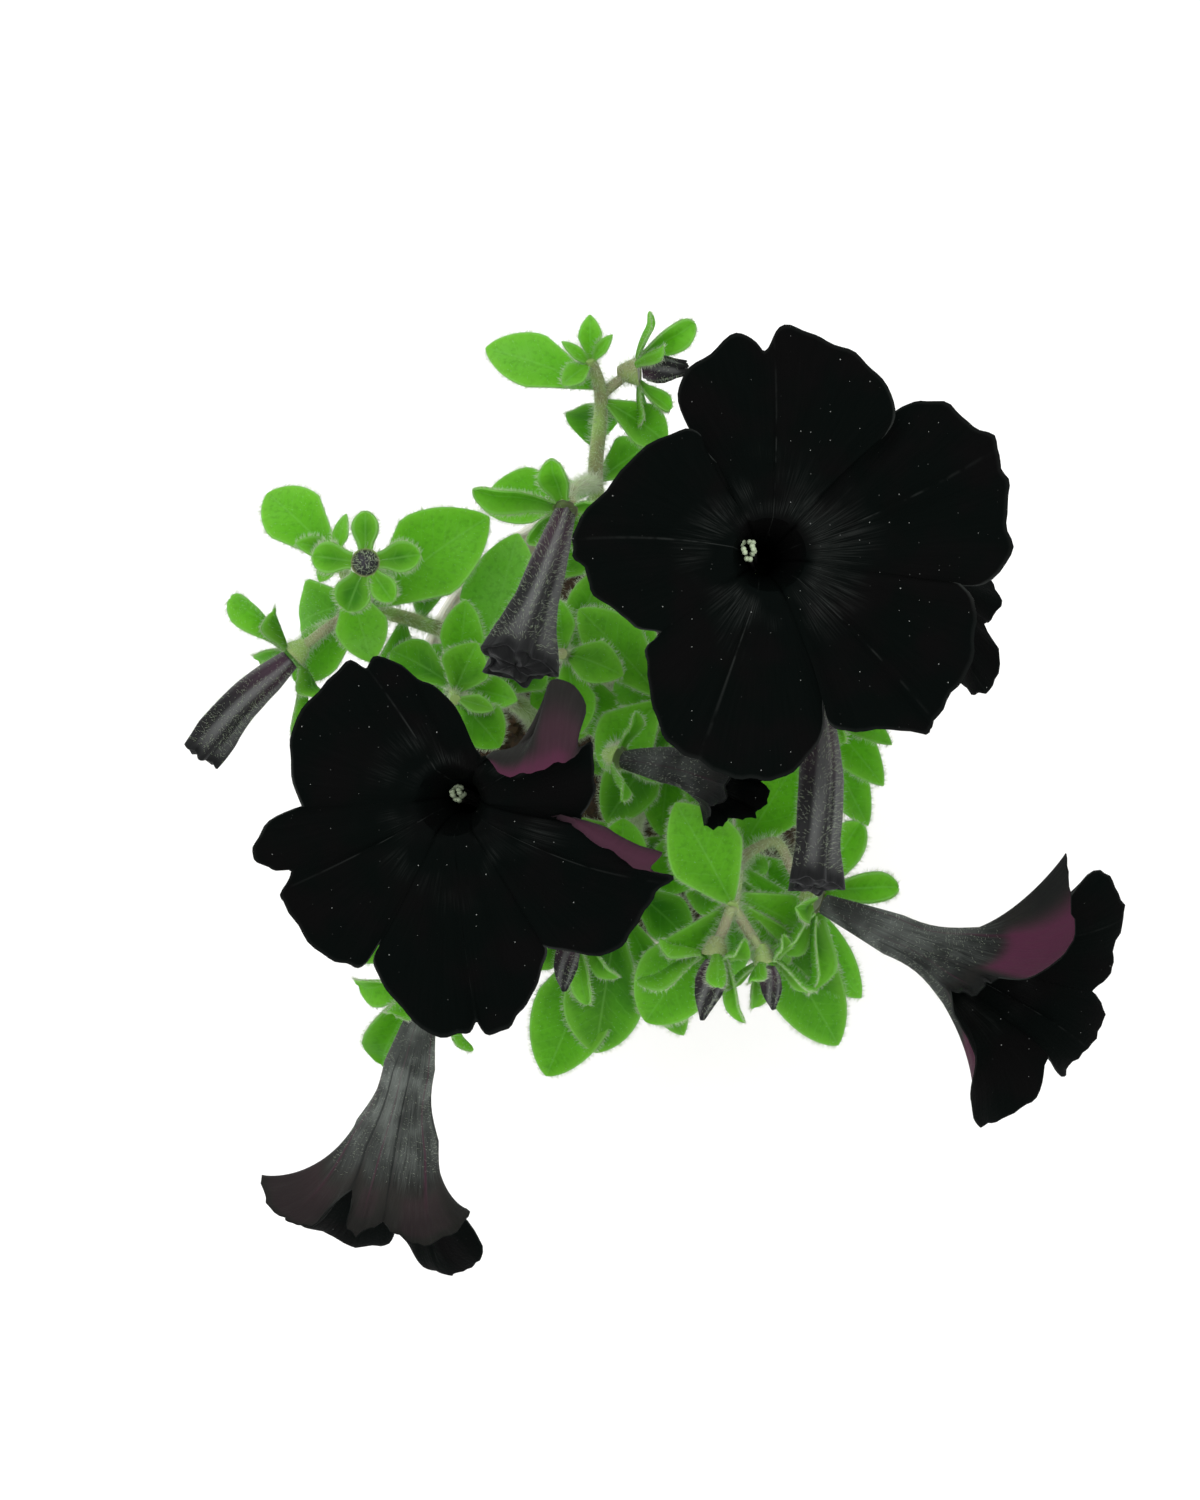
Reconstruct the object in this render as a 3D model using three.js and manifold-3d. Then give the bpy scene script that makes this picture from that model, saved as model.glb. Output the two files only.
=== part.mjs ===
// A black-flowered petunia growing in a plain round nursery pot, in millimetres, +Z up.
// The origin is the centre of the pot's foot, where it rests. +Y points to the back of the plant.

import * as THREE from 'three';
import { mergeVertices } from 'three/addons/utils/BufferGeometryUtils.js';
import Module from 'manifold-3d';

const wasm = await Module();
wasm.setup();

// Driving dimensions

const POT = {
  height: 78,
  rimRadius: 43,
  rimDepth: 9,
  footRadius: 31,
  wall: 1.5,
  floor: 2.5,
  drainHoles: 6,
  drainRadius: 3.2,
  drainCircle: 20,
  facets: 24,
};
const SOIL = { top: 70, clearance: 0.3, crown: 2.5, shoulder: 2 };
const STEM_DEPTH = 9;
const HOLE_CLEARANCE = 0.35;
const STEM_LEAN = 1.2;
const BLADE_THICKNESS = 0.7;
const PETAL_THICKNESS = 0.8;
const STEM_SIDES = 6;
const STALK_SIDES = 5;
const STALK_RADIUS = 1.25;
const STALK_END_RADIUS = 1.05;
const STALK_REACH = 0.45;
const CALYX_LENGTH = 3.5;
const LONG_BLADE = 13;
const LONG_SEPAL = 7;
const SINUS = 0.9;
const SEAT_STEPS = 60;
const TUBE_RINGS = [0.12, 0.5];
const TUBE_SIDES = 10;
const LIMB_RINGS = 3;
const TUBE_BEND = 0.5;
const RIBS = 5;
const RIB_DEPTH = 0.13;
const BUD_SIDES = 10;
const MOUTH_DEPTH = 0.6;
const STEEP = 0.2;

// Finishes: colour, roughness and metalness of each material

const FINISHES = {
  pot: ['#e9e8e4', 0.45],
  soil: ['#3a2a1e', 0.95],
  foliage: ['#4f9a2b', 0.6],
  petal: ['#0b0c0d', 0.85],
  bud: ['#3b3438', 0.8],
  stamen: ['#aeb89a', 0.6],
};

// Small helpers for points, sheets and solids

const V = (p) => new THREE.Vector3(p[0], p[1], p[2]);
const radians = THREE.MathUtils.degToRad;
const mix = THREE.MathUtils.lerp;

function geometryOf(points, triangles) {
  const geometry = new THREE.BufferGeometry();
  const numbers = points.flatMap((point) => point.toArray());
  geometry.setAttribute('position', new THREE.Float32BufferAttribute(numbers, 3));
  geometry.setIndex(triangles.flat());
  return geometry;
}

function signedVolume(points, triangles) {
  let total = 0;
  for (const [a, b, c] of triangles) {
    total += points[a].dot(new THREE.Vector3().crossVectors(points[b], points[c]));
  }
  return total / 6;
}

// A closed solid as a boolean operand, whichever way its faces were listed.
function solidOf(points, triangles) {
  const inward = signedVolume(points, triangles) < 0;
  const faces = inward ? triangles.map(([a, b, c]) => [a, c, b]) : triangles;
  return solidFromGeometry(geometryOf(points, faces));
}

function solidFromGeometry(geometry) {
  const bare = geometry.clone();
  bare.deleteAttribute('normal');
  bare.deleteAttribute('uv');
  const merged = mergeVertices(bare, 1e-4);
  const vertProperties = new Float32Array(merged.attributes.position.array);
  const triVerts = new Uint32Array(merged.index.array);
  return new wasm.Manifold(new wasm.Mesh({ numProp: 3, vertProperties, triVerts }));
}

function geometryFromSolid(solid) {
  const mesh = solid.getMesh();
  const geometry = new THREE.BufferGeometry();
  geometry.setAttribute('position', new THREE.Float32BufferAttribute(mesh.vertProperties, 3));
  geometry.setIndex(Array.from(mesh.triVerts));
  return geometry;
}

// A thin sheet of triangles is given its thickness, half to each side, with a wall round its free edge.
// The underside of its first point may lie deeper, which makes a cup below it.
function thicken(points, triangles, thickness, deepPoint = null) {
  const normals = points.map(() => new THREE.Vector3());
  for (const [a, b, c] of triangles) {
    const ab = new THREE.Vector3().subVectors(points[b], points[a]);
    const ac = new THREE.Vector3().subVectors(points[c], points[a]);
    const normal = ab.cross(ac);
    for (const corner of [a, b, c]) {
      normals[corner].add(normal);
    }
  }
  const count = points.length;
  const half = thickness / 2;
  const upper = points.map((p, i) => p.clone().addScaledVector(normals[i].normalize(), half));
  const lower = points.map((p, i) => p.clone().addScaledVector(normals[i], -half));
  if (deepPoint) {
    lower[0] = deepPoint;
  }
  const faces = triangles.map((face) => [...face]);
  const edges = new Set(triangles.flatMap(([a, b, c]) => [`${a},${b}`, `${b},${c}`, `${c},${a}`]));
  for (const [a, b, c] of triangles) {
    faces.push([a + count, c + count, b + count]);
    for (const [from, to] of [[a, b], [b, c], [c, a]]) {
      if (!edges.has(`${to},${from}`)) {
        faces.push([to, from, from + count], [to, from + count, to + count]);
      }
    }
  }
  return solidOf([...upper, ...lower], faces);
}

// A round stalk along a smooth curve, closed at both ends. Its radii are spread evenly over its steps.
function stalk(path, radii, stepsPerSpan = 2, sides = STEM_SIDES) {
  const curve = new THREE.CatmullRomCurve3(path.map(V));
  const steps = (path.length - 1) * stepsPerSpan;
  const normal = new THREE.Vector3(1, 0, 0);
  if (Math.abs(curve.getTangent(0).x) > 1 - STEEP) {
    normal.set(0, 1, 0);
  }
  const points = [];
  const triangles = [];
  for (let step = 0; step <= steps; step += 1) {
    const centre = curve.getPoint(step / steps);
    const tangent = curve.getTangent(step / steps);
    normal.addScaledVector(tangent, -normal.dot(tangent)).normalize();
    const binormal = new THREE.Vector3().crossVectors(tangent, normal);
    const radius = valueAlong(radii, step / steps);
    for (let side = 0; side < sides; side += 1) {
      const angle = (2 * Math.PI * side) / sides;
      const point = centre.clone().addScaledVector(normal, Math.cos(angle) * radius);
      points.push(point.addScaledVector(binormal, Math.sin(angle) * radius));
    }
  }
  for (let step = 0; step < steps; step += 1) {
    for (let side = 0; side < sides; side += 1) {
      const next = (side + 1) % sides;
      const [a, b] = [step * sides + side, step * sides + next];
      triangles.push([a, b, b + sides], [a, b + sides, a + sides]);
    }
  }
  for (let side = 1; side < sides - 1; side += 1) {
    const last = steps * sides;
    triangles.push([0, side + 1, side], [last, last + side, last + side + 1]);
  }
  return solidOf(points, triangles);
}

// The value at a share of the way along an evenly spaced list, 0 at its start and 1 at its end.
function valueAlong(values, share) {
  const place = share * (values.length - 1);
  const index = Math.min(Math.floor(place), values.length - 2);
  return mix(values[index], values[index + 1], place - index);
}

// Leaves and sepals

// Half the width of a blade at a place along its midrib, 0 at the stalk to 1 at the tip, as a share of the
// greatest half width. The widest place is at WIDEST.
const WIDEST = 0.55;
const PLUMP = 1.55;

function bladeOutline(along) {
  const rise = Math.pow(along / WIDEST, WIDEST * PLUMP);
  const fall = Math.pow((1 - along) / (1 - WIDEST), (1 - WIDEST) * PLUMP);
  return rise * fall;
}

// Faces between two rows of three points, given by the first point of each.
const rowFaces = (from, to) => [0, 1].flatMap((i) => [
  [from + i, from + i + 1, to + i + 1],
  [from + i, to + i + 1, to + i],
]);

// A blade runs from its base to its tip, arched upward by `arch`, `wide` across, with its edges lifted
// by `cup` of the half width and rolled about its own length by `roll` degrees.
function blade({ from, to, wide, arch = 1, cup = 0.15, roll = 0 }) {
  const base = V(from);
  const tip = V(to);
  const length = base.distanceTo(tip);
  const along = new THREE.Vector3().subVectors(tip, base).normalize();
  const up = new THREE.Vector3(0, 0, 1).addScaledVector(along, -along.z);
  if (up.length() < STEEP) {
    up.set(0, 1, 0).addScaledVector(along, -along.y);
  }
  up.normalize().applyAxisAngle(along, radians(roll));
  const across = new THREE.Vector3().crossVectors(along, up);
  const segments = length > LONG_BLADE ? 4 : 3;
  const points = [base.clone()];
  const triangles = [[0, 1, 2], [0, 2, 3]];
  for (let step = 1; step < segments; step += 1) {
    const share = step / segments;
    const rib = base.clone().lerp(tip, share).addScaledVector(up, 4 * arch * share * (1 - share));
    const half = (wide / 2) * bladeOutline(share);
    for (const side of [1, 0, -1]) {
      const point = rib.clone().addScaledVector(across, side * half);
      points.push(point.addScaledVector(up, Math.abs(side) * half * cup));
    }
    if (step > 1) {
      triangles.push(...rowFaces(points.length - 3, points.length - 6));
    }
  }
  const end = points.length;
  points.push(tip);
  triangles.push([end - 2, end - 3, end], [end - 1, end - 2, end]);
  return thicken(points, triangles, BLADE_THICKNESS);
}

// Rows across a sepal, each a share of its length and of its greatest half width.
const SHORT_SEPAL_ROWS = [[0.6, 1]];
const LONG_SEPAL_ROWS = [[0.32, 0.85], [0.74, 0.95]];

// The calyx of a flower or bud, grown as one: a small green cup at the end of its stalk, whose rim runs
// out in blunt sepals. A sepal bulges outward by `arch`, its edges are lifted inward by `cup`, and it is
// twisted by `turn` degrees on its way to the tip.
function calyx({ at, towards, radius, length = CALYX_LENGTH, sepals }) {
  const centre = V(at);
  const axis = new THREE.Vector3().subVectors(V(towards), centre).normalize();
  const side = new THREE.Vector3(0, 1, 0).cross(axis);
  if (side.length() < STEEP) {
    side.set(1, 0, 0);
  }
  side.addScaledVector(axis, -side.dot(axis)).normalize();
  const front = new THREE.Vector3().crossVectors(axis, side);
  const direction = (angle) => side.clone().multiplyScalar(Math.cos(angle))
    .addScaledVector(front, Math.sin(angle));
  const angleOf = (tip) => {
    const out = V(tip).sub(centre);
    return Math.atan2(out.dot(front), out.dot(side));
  };
  const ring = sepals.map((shape) => ({ ...shape, angle: angleOf(shape.tip) }))
    .sort((a, b) => a.angle - b.angle);
  const count = ring.length;
  const points = [centre.clone()];
  ring.forEach(({ angle }, index) => {
    const nextAngle = index + 1 < count ? ring[index + 1].angle : ring[0].angle + 2 * Math.PI;
    points.push(centre.clone().addScaledVector(direction(angle), radius));
    points.push(centre.clone().addScaledVector(direction((angle + nextAngle) / 2), radius * SINUS));
  });
  const triangles = [];
  ring.forEach(({ tip, wide, arch, cup, turn, angle }, index) => {
    const rim = 1 + 2 * index;
    const before = 1 + ((2 * index + 2 * count - 1) % (2 * count));
    triangles.push([0, before, rim], [0, rim, rim + 1]);
    const end = V(tip);
    const along = new THREE.Vector3().subVectors(end, points[rim]);
    const flat = new THREE.Vector3().crossVectors(axis, direction(angle));
    let row = [before, rim, rim + 1];
    for (const [share, fullness] of along.length() > LONG_SEPAL ? LONG_SEPAL_ROWS : SHORT_SEPAL_ROWS) {
      const twist = radians(turn * Math.sqrt(share));
      const across = flat.clone().applyAxisAngle(along.clone().normalize(), twist);
      const outward = new THREE.Vector3().crossVectors(across, along).normalize();
      const bulge = 4 * arch * share * (1 - share);
      const rib = points[rim].clone().lerp(end, share).addScaledVector(outward, bulge);
      const half = (wide / 2) * fullness;
      const start = points.length;
      for (const way of [-1, 0, 1]) {
        const point = rib.clone().addScaledVector(across, way * half);
        points.push(point.addScaledVector(outward, -Math.abs(way) * half * cup));
      }
      const next = [start, start + 1, start + 2];
      for (const i of [0, 1]) {
        triangles.push([row[i], next[i], next[i + 1]], [row[i], next[i + 1], row[i + 1]]);
      }
      row = next;
    }
    points.push(end);
    const last = points.length - 1;
    triangles.push([row[0], last, row[1]], [row[1], last, row[2]]);
  });
  return thicken(points, triangles, BLADE_THICKNESS, centre.clone().addScaledVector(axis, -length));
}

// The stalk of a calyx leaves its stem and ends inside the bottom of the cup.
function flowerStalk(stems, { stalk: path, at, towards, length = CALYX_LENGTH }) {
  const axis = new THREE.Vector3().subVectors(V(towards), V(at)).normalize();
  const end = V(at).addScaledVector(axis, -length * STALK_REACH).toArray();
  const route = [seatOn(stems, path[0]), ...path.slice(1), end];
  return stalk(route, [STALK_RADIUS, STALK_END_RADIUS], 1, STALK_SIDES);
}

// The point on the middle lines of a shoot's stems that lies nearest to where a leaf or stalk should start.
function seatOn(stems, from) {
  const wanted = V(from);
  let nearest = null;
  for (const { path } of stems) {
    for (const point of new THREE.CatmullRomCurve3(path.map(V)).getPoints(SEAT_STEPS)) {
      if (!nearest || point.distanceTo(wanted) < nearest.distanceTo(wanted)) {
        nearest = point;
      }
    }
  }
  return nearest.toArray();
}

function leafyStem({ stems, calyces = [], leaves }) {
  const pieces = [
    ...stems.map(({ path, from, to }) => stalk(path, [from, to], 1)),
    ...calyces.map((shape) => flowerStalk(stems, shape)),
    ...calyces.map(calyx),
    ...leaves.map((shape) => blade({ ...shape, from: seatOn(stems, shape.from) })),
  ];
  return pieces.reduce((whole, piece) => whole.add(piece));
}

// Stems, leaves and calyces of each shoot. A leaf is base, tip, width, arch and roll, and a sepal is tip,
// width, arch, cup and turn.

const leaf = (from, to, wide, arch, roll) => ({ from, to, wide, arch, roll });
const sepal = (tip, wide, arch = 0.6, cup = 0.3, turn = 0) => ({ tip, wide, arch, cup, turn });
const ROOT_Z = SOIL.top - STEM_DEPTH;

const SHOOTS = {
  leafy_stem_back: {
    stems: [
      {
        path: [[-3.5, 20, ROOT_Z], [-4, 22, 88], [-8, 38, 110], [-7, 52, 120], [-9, 57, 127]],
        from: 1.7, to: 1.1,
      },
    ],
    calyces: [
      {
        stalk: [[-7, 52, 120]],
        at: [0, 56, 121.5], towards: [3, 56, 122], radius: 2.6, length: 4,
        sepals: [
          sepal([3, 65, 127], 3.4), sepal([10, 63.5, 125], 5.5, 0.6, 0.3, -70), sepal([1, 47, 117], 3.9),
          sepal([6, 50, 118], 3.4, 0.6, 0.3, 50), sepal([5, 58, 128], 3),
        ],
      },
      {
        stalk: [[-8, 38, 110], [-10, 34, 126], [-12, 30, 138]],
        at: [-13.2, 24.8, 145], towards: [-15, 17, 151], radius: 2.4,
        sepals: [
          sepal([-29, 26, 149], 5.8, 1.5, 0.4), sepal([-16, 31, 152], 5.4), sepal([-7, 24, 149], 3.9),
          sepal([-10, 18, 143], 3.9), sepal([-19, 19, 144], 3.9),
        ],
      },
    ],
    leaves: [
      leaf([-8, 53, 121], [-28, 61, 119], 10.5, 2.5),
      leaf([-7, 51, 120], [5, 45, 112], 8.2, 2),
      leaf([-7, 51, 118], [-9, 48, 99], 10.8, 1.5),
      leaf([-9, 57, 126], [-9, 64, 131], 4.4, 1),
      leaf([-9, 56, 126], [-14, 52, 127], 4.4, 1),
      leaf([-9, 56, 125], [-14, 59, 131], 2.4, 0.5),
      leaf([-9, 56, 126], [-5, 60, 132], 2.4, 0.5),
      leaf([-9, 37, 109], [-29, 35, 104], 10.7, 2.5),
      leaf([-7, 38, 109], [2, 46, 105], 8.4, 2),
      leaf([-8, 38, 108], [-10, 31, 94], 6.8, 1),
      leaf([-6, 31, 100], [8, 34, 95], 9.1, 2),
      leaf([-5, 26, 94], [-19, 30, 88], 10.3, 2),
    ],
  },
  leafy_stem_upper_left: {
    stems: [
      {
        path: [[-22.5, 10.6, ROOT_Z], [-24, 11, 86], [-40, 12, 110], [-50, 14, 119], [-54, 20, 131]],
        from: 1.7, to: 1,
      },
    ],
    calyces: [
      {
        stalk: [[-50, 14, 119], [-49, 15, 132]],
        at: [-48, 15, 147], towards: [-48, 14.5, 150], radius: 2.6,
        sepals: [
          sepal([-48, 23, 150], 4.6), sepal([-39, 16, 149], 5.5), sepal([-43.6, 8.5, 148], 4.6),
          sepal([-51, 7, 147], 6.5), sepal([-57, 16, 148], 5.5),
        ],
      },
      {
        stalk: [[-50, 14, 118], [-56, 9, 120]],
        at: [-62.5, 4.2, 118], towards: [-66, 1, 117.5], radius: 2.5,
        sepals: [
          sepal([-74, 13, 126], 5.5, 1.5, 0.4, -70), sepal([-67, 11, 125], 5.1, 0.6, 0.3, -60),
          sepal([-59, -3, 116], 5.4, 0.6, 0.3, 50), sepal([-62, -11, 106], 6, 1.2, 0.3, 50),
          sepal([-70, 4, 109], 4.6, 1),
        ],
      },
    ],
    leaves: [
      leaf([-53, 19, 128], [-67, 33, 123], 11.6, 2.5),
      leaf([-51, 19, 116], [-62, 13, 104], 12.5, 2),
      leaf([-48, 13, 118], [-27, 28, 126], 16.5, 4),
      leaf([-49, 14, 126], [-48, 2, 123], 9.6, 2),
      leaf([-54, 20, 131], [-61, 21, 136], 4, 1),
      leaf([-54, 20, 131], [-52, 26, 137], 2.9, 1),
      leaf([-54, 20, 131], [-57, 15, 131], 3.5, 1),
      leaf([-50, 12, 116], [-63, 2, 106], 9.1, 2),
      leaf([-44, 12, 112], [-44, 1, 104], 8, 1.5),
      leaf([-40, 12, 109], [-37, 27, 101], 10.3, 2),
      leaf([-30, 11, 96], [-44, 3, 88], 10.3, 2),
    ],
  },
  leafy_stem_centre_left: {
    stems: [
      {
        path: [[-19, 0, ROOT_Z], [-21, 0, 88], [-29, 0, 108], [-33, -2, 118], [-33, -5, 124]],
        from: 1.6, to: 1,
      },
    ],
    leaves: [
      leaf([-33, -2, 118], [-31, 12, 130], 8, -1.2),
      leaf([-32, -2, 117], [-45, 6, 113], 8.4, 3),
      leaf([-33, -4, 120], [-29, 5, 126], 9.1, 1),
      leaf([-29, 0, 109], [-22, 27, 117], 14.2, 3),
      leaf([-33, -5, 123], [-26, -7, 125], 3.5, 0.8),
      leaf([-33, -5, 122], [-25, -13, 121], 9.1, 2),
      leaf([-32, -1, 114], [-22, -4, 118], 6.4, 1),
      leaf([-24, 0, 96], [-38, 8, 86], 10.3, 1.5),
      leaf([-26, 0, 100], [-18, 7, 96], 9.1, 1.5),
      leaf([-27, 0, 104], [-38, -9, 99], 9.1, 1.5),
    ],
  },
  leafy_stem_centre: {
    stems: [
      {
        path: [[-4, 6, ROOT_Z], [-6, 6, 88], [-11, 4, 108], [-13, 4, 120], [-14, 3, 126]],
        from: 1.7, to: 1,
      },
    ],
    leaves: [
      leaf([-13, 5, 118], [-7, 20, 118], 7.5, 1.5),
      leaf([-12, 4, 108], [-19, 17, 106], 10.3, 1.5),
      leaf([-14, 3, 124], [-14.5, 12, 130], 5.1, 0.6),
      leaf([-13, 4, 122], [-3, -1, 126], 8.2, 2),
      leaf([-12, 4, 108], [-6, -9, 106], 8.8, 1.5),
      leaf([-9, 5, 100], [-10, 19, 95], 10.3, 1.5),
      leaf([-7, 6, 92], [-15, -6, 87], 9.1, 1.5),
      leaf([-13, 3, 121], [-11, -10, 117], 8, 1.5),
      leaf([-8, 5, 97], [-20, 0, 93], 9, 1.5),
    ],
  },
  leafy_stem_middle: {
    stems: [
      {
        path: [[5, -3, ROOT_Z], [5.5, -4, 88], [6, -6, 106], [4, -4, 119]],
        from: 1.6, to: 1.1,
      },
    ],
    calyces: [
      {
        stalk: [[5.6, -4.5, 92], [0, -10, 108], [-4, -13, 121]],
        at: [-3.6, -16.4, 129], towards: [0, -18, 131.5], radius: 2.3,
        sepals: [
          sepal([-2, -24, 134], 3.9), sepal([0, -10, 134], 3.9), sepal([4, -19, 126], 3.7),
        ],
      },
    ],
    leaves: [
      leaf([5, -3, 118], [-11, 12, 122], 11, 2.5),
      leaf([5, -5, 119], [-6, 15, 114], 10.3, 2),
      leaf([4, -4, 119], [-7, -16, 117], 11.4, 2.5),
      leaf([5, -5, 112], [-4.5, 1.5, 107], 7, 1),
      leaf([6, -6, 104], [-9, -3, 100], 10.3, 1.5),
      leaf([6, -6, 106], [-6, -23, 98], 10.8, 2),
      leaf([6, -5, 100], [4, -25, 95], 9.1, 2),
      leaf([5, -4, 110], [16, 2, 105], 9.1, 1.5),
      leaf([5.5, -4, 92], [-9, -12, 90], 9, 2),
    ],
  },
  leafy_stem_right: {
    stems: [
      {
        path: [[12, 8, ROOT_Z], [14, 8, 90], [22, 5, 112], [27, -1, 124]],
        from: 1.8, to: 1.3,
      },
    ],
    calyces: [
      {
        stalk: [[20, 6, 108], [20, 10, 120]],
        at: [19, 15.5, 134], towards: [19.5, 15, 140], radius: 2.5,
        sepals: [
          sepal([11, 19, 139], 4.6), sepal([27, 20, 138], 4.6), sepal([17, 6, 139], 4.6),
          sepal([26, 9, 140], 4.6), sepal([17, 24, 141], 4.6),
        ],
      },
      {
        stalk: [[22, 5, 112], [28, 7, 118]],
        at: [33.5, 8.5, 124], towards: [38, 9, 128], radius: 2.5,
        sepals: [
          sepal([35, 18, 129], 4.6), sepal([40, 1, 127], 4.6), sepal([42, 13, 122], 4.1),
          sepal([33, 10, 133], 4.1), sepal([33, 1, 130], 4.1),
        ],
      },
      {
        stalk: [[27, -1, 124], [30, -4, 131]],
        at: [31.5, -7.5, 137.5], towards: [31, -12, 140], radius: 2.4,
        sepals: [
          sepal([39, -11, 139], 4.1), sepal([24, -10, 140], 4.1), sepal([31, -4, 147], 4.1),
          sepal([35, -15, 134], 3.9), sepal([27, -14, 134], 3.9),
        ],
      },
    ],
    leaves: [
      leaf([27, -1, 124], [44, -15, 135], 6.4, 1),
      leaf([26, 0, 123], [43, -21, 127], 9.1, 2),
      leaf([26, 1, 120], [41, -26, 113], 9.8, 2),
      leaf([24, 4, 115], [40, 18, 108], 12.5, 2.5),
      leaf([21, 6, 110], [12, 20, 106], 10.3, 2),
      leaf([17, 7, 101], [33, -4, 95], 10.3, 2),
      leaf([15, 8, 94], [22, 24, 88], 10.3, 2),
    ],
  },
  leafy_stem_front_right: {
    stems: [
      {
        path: [[12, -14, ROOT_Z], [13, -16, 86], [16, -27, 107], [17, -34, 119], [16, -43, 128]],
        from: 1.8, to: 1.3,
      },
    ],
    calyces: [
      {
        stalk: [[17, -34, 119], [20, -32, 124], [24, -31, 126], [27, -36, 125]],
        at: [31.6, -41.3, 124], towards: [37, -44, 126], radius: 2.6,
        sepals: [
          sepal([46, -38, 122], 5.4, 1, 0.3, -60), sepal([38.5, -27.5, 127], 6.5, 1, 0.3, -80),
          sepal([25, -51, 124], 6.9, 0.8, 0.5), sepal([32, -57, 118], 7.6, 1, 0.5),
          sepal([29, -44, 131], 5.1),
        ],
      },
      {
        stalk: [[16, -43, 128]],
        at: [12.9, -51.5, 127.7], towards: [12, -57, 127], radius: 2.5,
        sepals: [
          sepal([3, -50, 129], 3.9, 0.4, 0.4, -40), sepal([0.5, -57, 125], 5.5, 0.8, 0.4, -40),
          sepal([18.5, -51, 131], 5.5), sepal([17, -63, 122], 4.1), sepal([13, -58, 132], 3.4),
        ],
      },
      {
        stalk: [[16, -43, 127]],
        at: [22, -52.4, 125.2], towards: [23, -56, 124.5], radius: 2.1,
        sepals: [
          sepal([21, -60, 117.5], 3.9), sepal([30, -58, 122], 4.1), sepal([15, -57, 121], 4.1),
          sepal([26, -49, 129], 3.9), sepal([20, -57, 130], 3.4),
        ],
      },
    ],
    leaves: [
      leaf([16, -42, 128], [6, -26, 139], 13.9, 2.5),
      leaf([17, -33, 118], [28, -15, 116], 13, 2.5),
      leaf([17, -34, 117], [23, -34, 114], 4.4, 0.6),
      leaf([16, -42, 126], [1, -61, 110], 14.2, 3),
      leaf([17, -41, 124], [31, -46, 115], 8.7, 1.5),
      leaf([17, -42, 125], [26, -52, 113], 8.4, 1.5),
      leaf([17, -33, 112], [30, -39, 104], 8.7, 1.5),
      leaf([16, -28, 108], [11, -13, 103], 9.6, 1.5),
      leaf([16, -41, 122], [17, -53, 108], 5.7, 1),
      leaf([16, -38, 120], [36, -64, 99], 13.7, 3),
      leaf([17, -36, 116], [40, -56, 104], 10.3, 2),
      leaf([15, -24, 101], [2, -36, 97], 10.3, 2),
      leaf([14, -21, 96], [27, -19, 89], 10.3, 2),
      leaf([14, -20, 93], [12, -39, 88], 10.3, 2),
    ],
  },
  leafy_stem_front: {
    stems: [
      {
        path: [[-0.5, -18.5, ROOT_Z], [-1, -20, 84], [-2, -34, 104], [-4, -42, 113]],
        from: 1.7, to: 1.2,
      },
    ],
    calyces: [
      {
        stalk: [[-4, -42, 113]],
        at: [-12.6, -47, 121], towards: [-13, -51, 122], radius: 2.2,
        sepals: [
          sepal([-5, -55, 119], 4.6), sepal([-10, -59, 116.5], 3.9), sepal([-18, -53, 118], 4.1),
          sepal([-10, -48, 127], 3.4), sepal([-17, -48, 126], 3.4),
        ],
      },
      {
        stalk: [[-2, -32, 101], [-12, -33, 112]],
        at: [-22.3, -27.4, 121.5], towards: [-25, -27, 126], radius: 2.5,
        sepals: [
          sepal([-22, -37, 126], 4.4), sepal([-30, -31, 124], 4.4), sepal([-29, -21, 126], 4.4),
          sepal([-18, -21, 128], 4.4), sepal([-16, -29, 129], 4.4),
        ],
      },
    ],
    leaves: [
      leaf([-4, -42, 113], [-8, -65.5, 100], 14.6, 3),
      leaf([-3, -41, 111], [-17, -69, 93], 14.8, 3),
      leaf([-4, -41, 111], [8, -62, 97], 8.5, 2),
      leaf([-3, -36, 106], [9, -45, 101], 9.1, 2),
      leaf([-2, -33, 102], [-15, -42, 97], 10.3, 2),
      leaf([-1, -26, 93], [10, -31, 88], 10.3, 2),
      leaf([-1, -24, 90], [-14, -27, 85], 10.3, 2),
      leaf([-3, -40, 110], [-3, -24, 109], 9.1, 1.5),
    ],
  },
  leafy_stem_front_left: {
    stems: [
      {
        path: [[-18, -13.8, ROOT_Z], [-19, -15, 86], [-28, -30, 103], [-34, -42, 110]],
        from: 1.7, to: 1.3,
      },
    ],
    calyces: [
      {
        stalk: [[-34, -42, 110], [-36, -48, 112]],
        at: [-38, -55.4, 111.6], towards: [-39, -60, 109], radius: 2.6,
        sepals: [
          sepal([-52, -55, 102], 6.9, 1, 0.3, 70), sepal([-49, -68, 90], 8.6, 0.8, 0.3, 60),
          sepal([-32, -66, 104], 5.1), sepal([-44, -62, 120], 4.6), sepal([-31, -58, 118], 4.6),
        ],
      },
    ],
    leaves: [
      leaf([-34, -42, 110], [-52, -49, 104], 6.8, 1.5),
      leaf([-31, -36, 107], [-48, -33, 100], 11.4, 2.5),
      leaf([-31, -36, 106], [-20, -47, 101], 10.3, 2),
      leaf([-24, -24, 98], [-40, -17, 92], 11.4, 2.5),
      leaf([-22, -20, 93], [-10, -15, 88], 9.1, 1.5),
    ],
  },
};

// Blooms

// A corolla is one sheet: a tube that widens from the calyx to the throat, then a limb of five lobes.
// Each spoke of the limb ends at a point [angle, radius, rise, kind] about the bloom's axis: rise is
// measured along the axis from the throat, and the kind 'notch' marks where two lobes part. A spoke with
// a fold, [angle, radius, rise], goes out to it and turns back to its end.

const notch = (angle, radius, rise = 0) => ({ angle, radius, rise, parts: true });
const edge = (angle, radius, rise = 0, fold = null) => ({ angle, radius, rise, fold });
const curled = (angle, radius, rise, ...fold) => edge(angle, radius, rise, fold);

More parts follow.
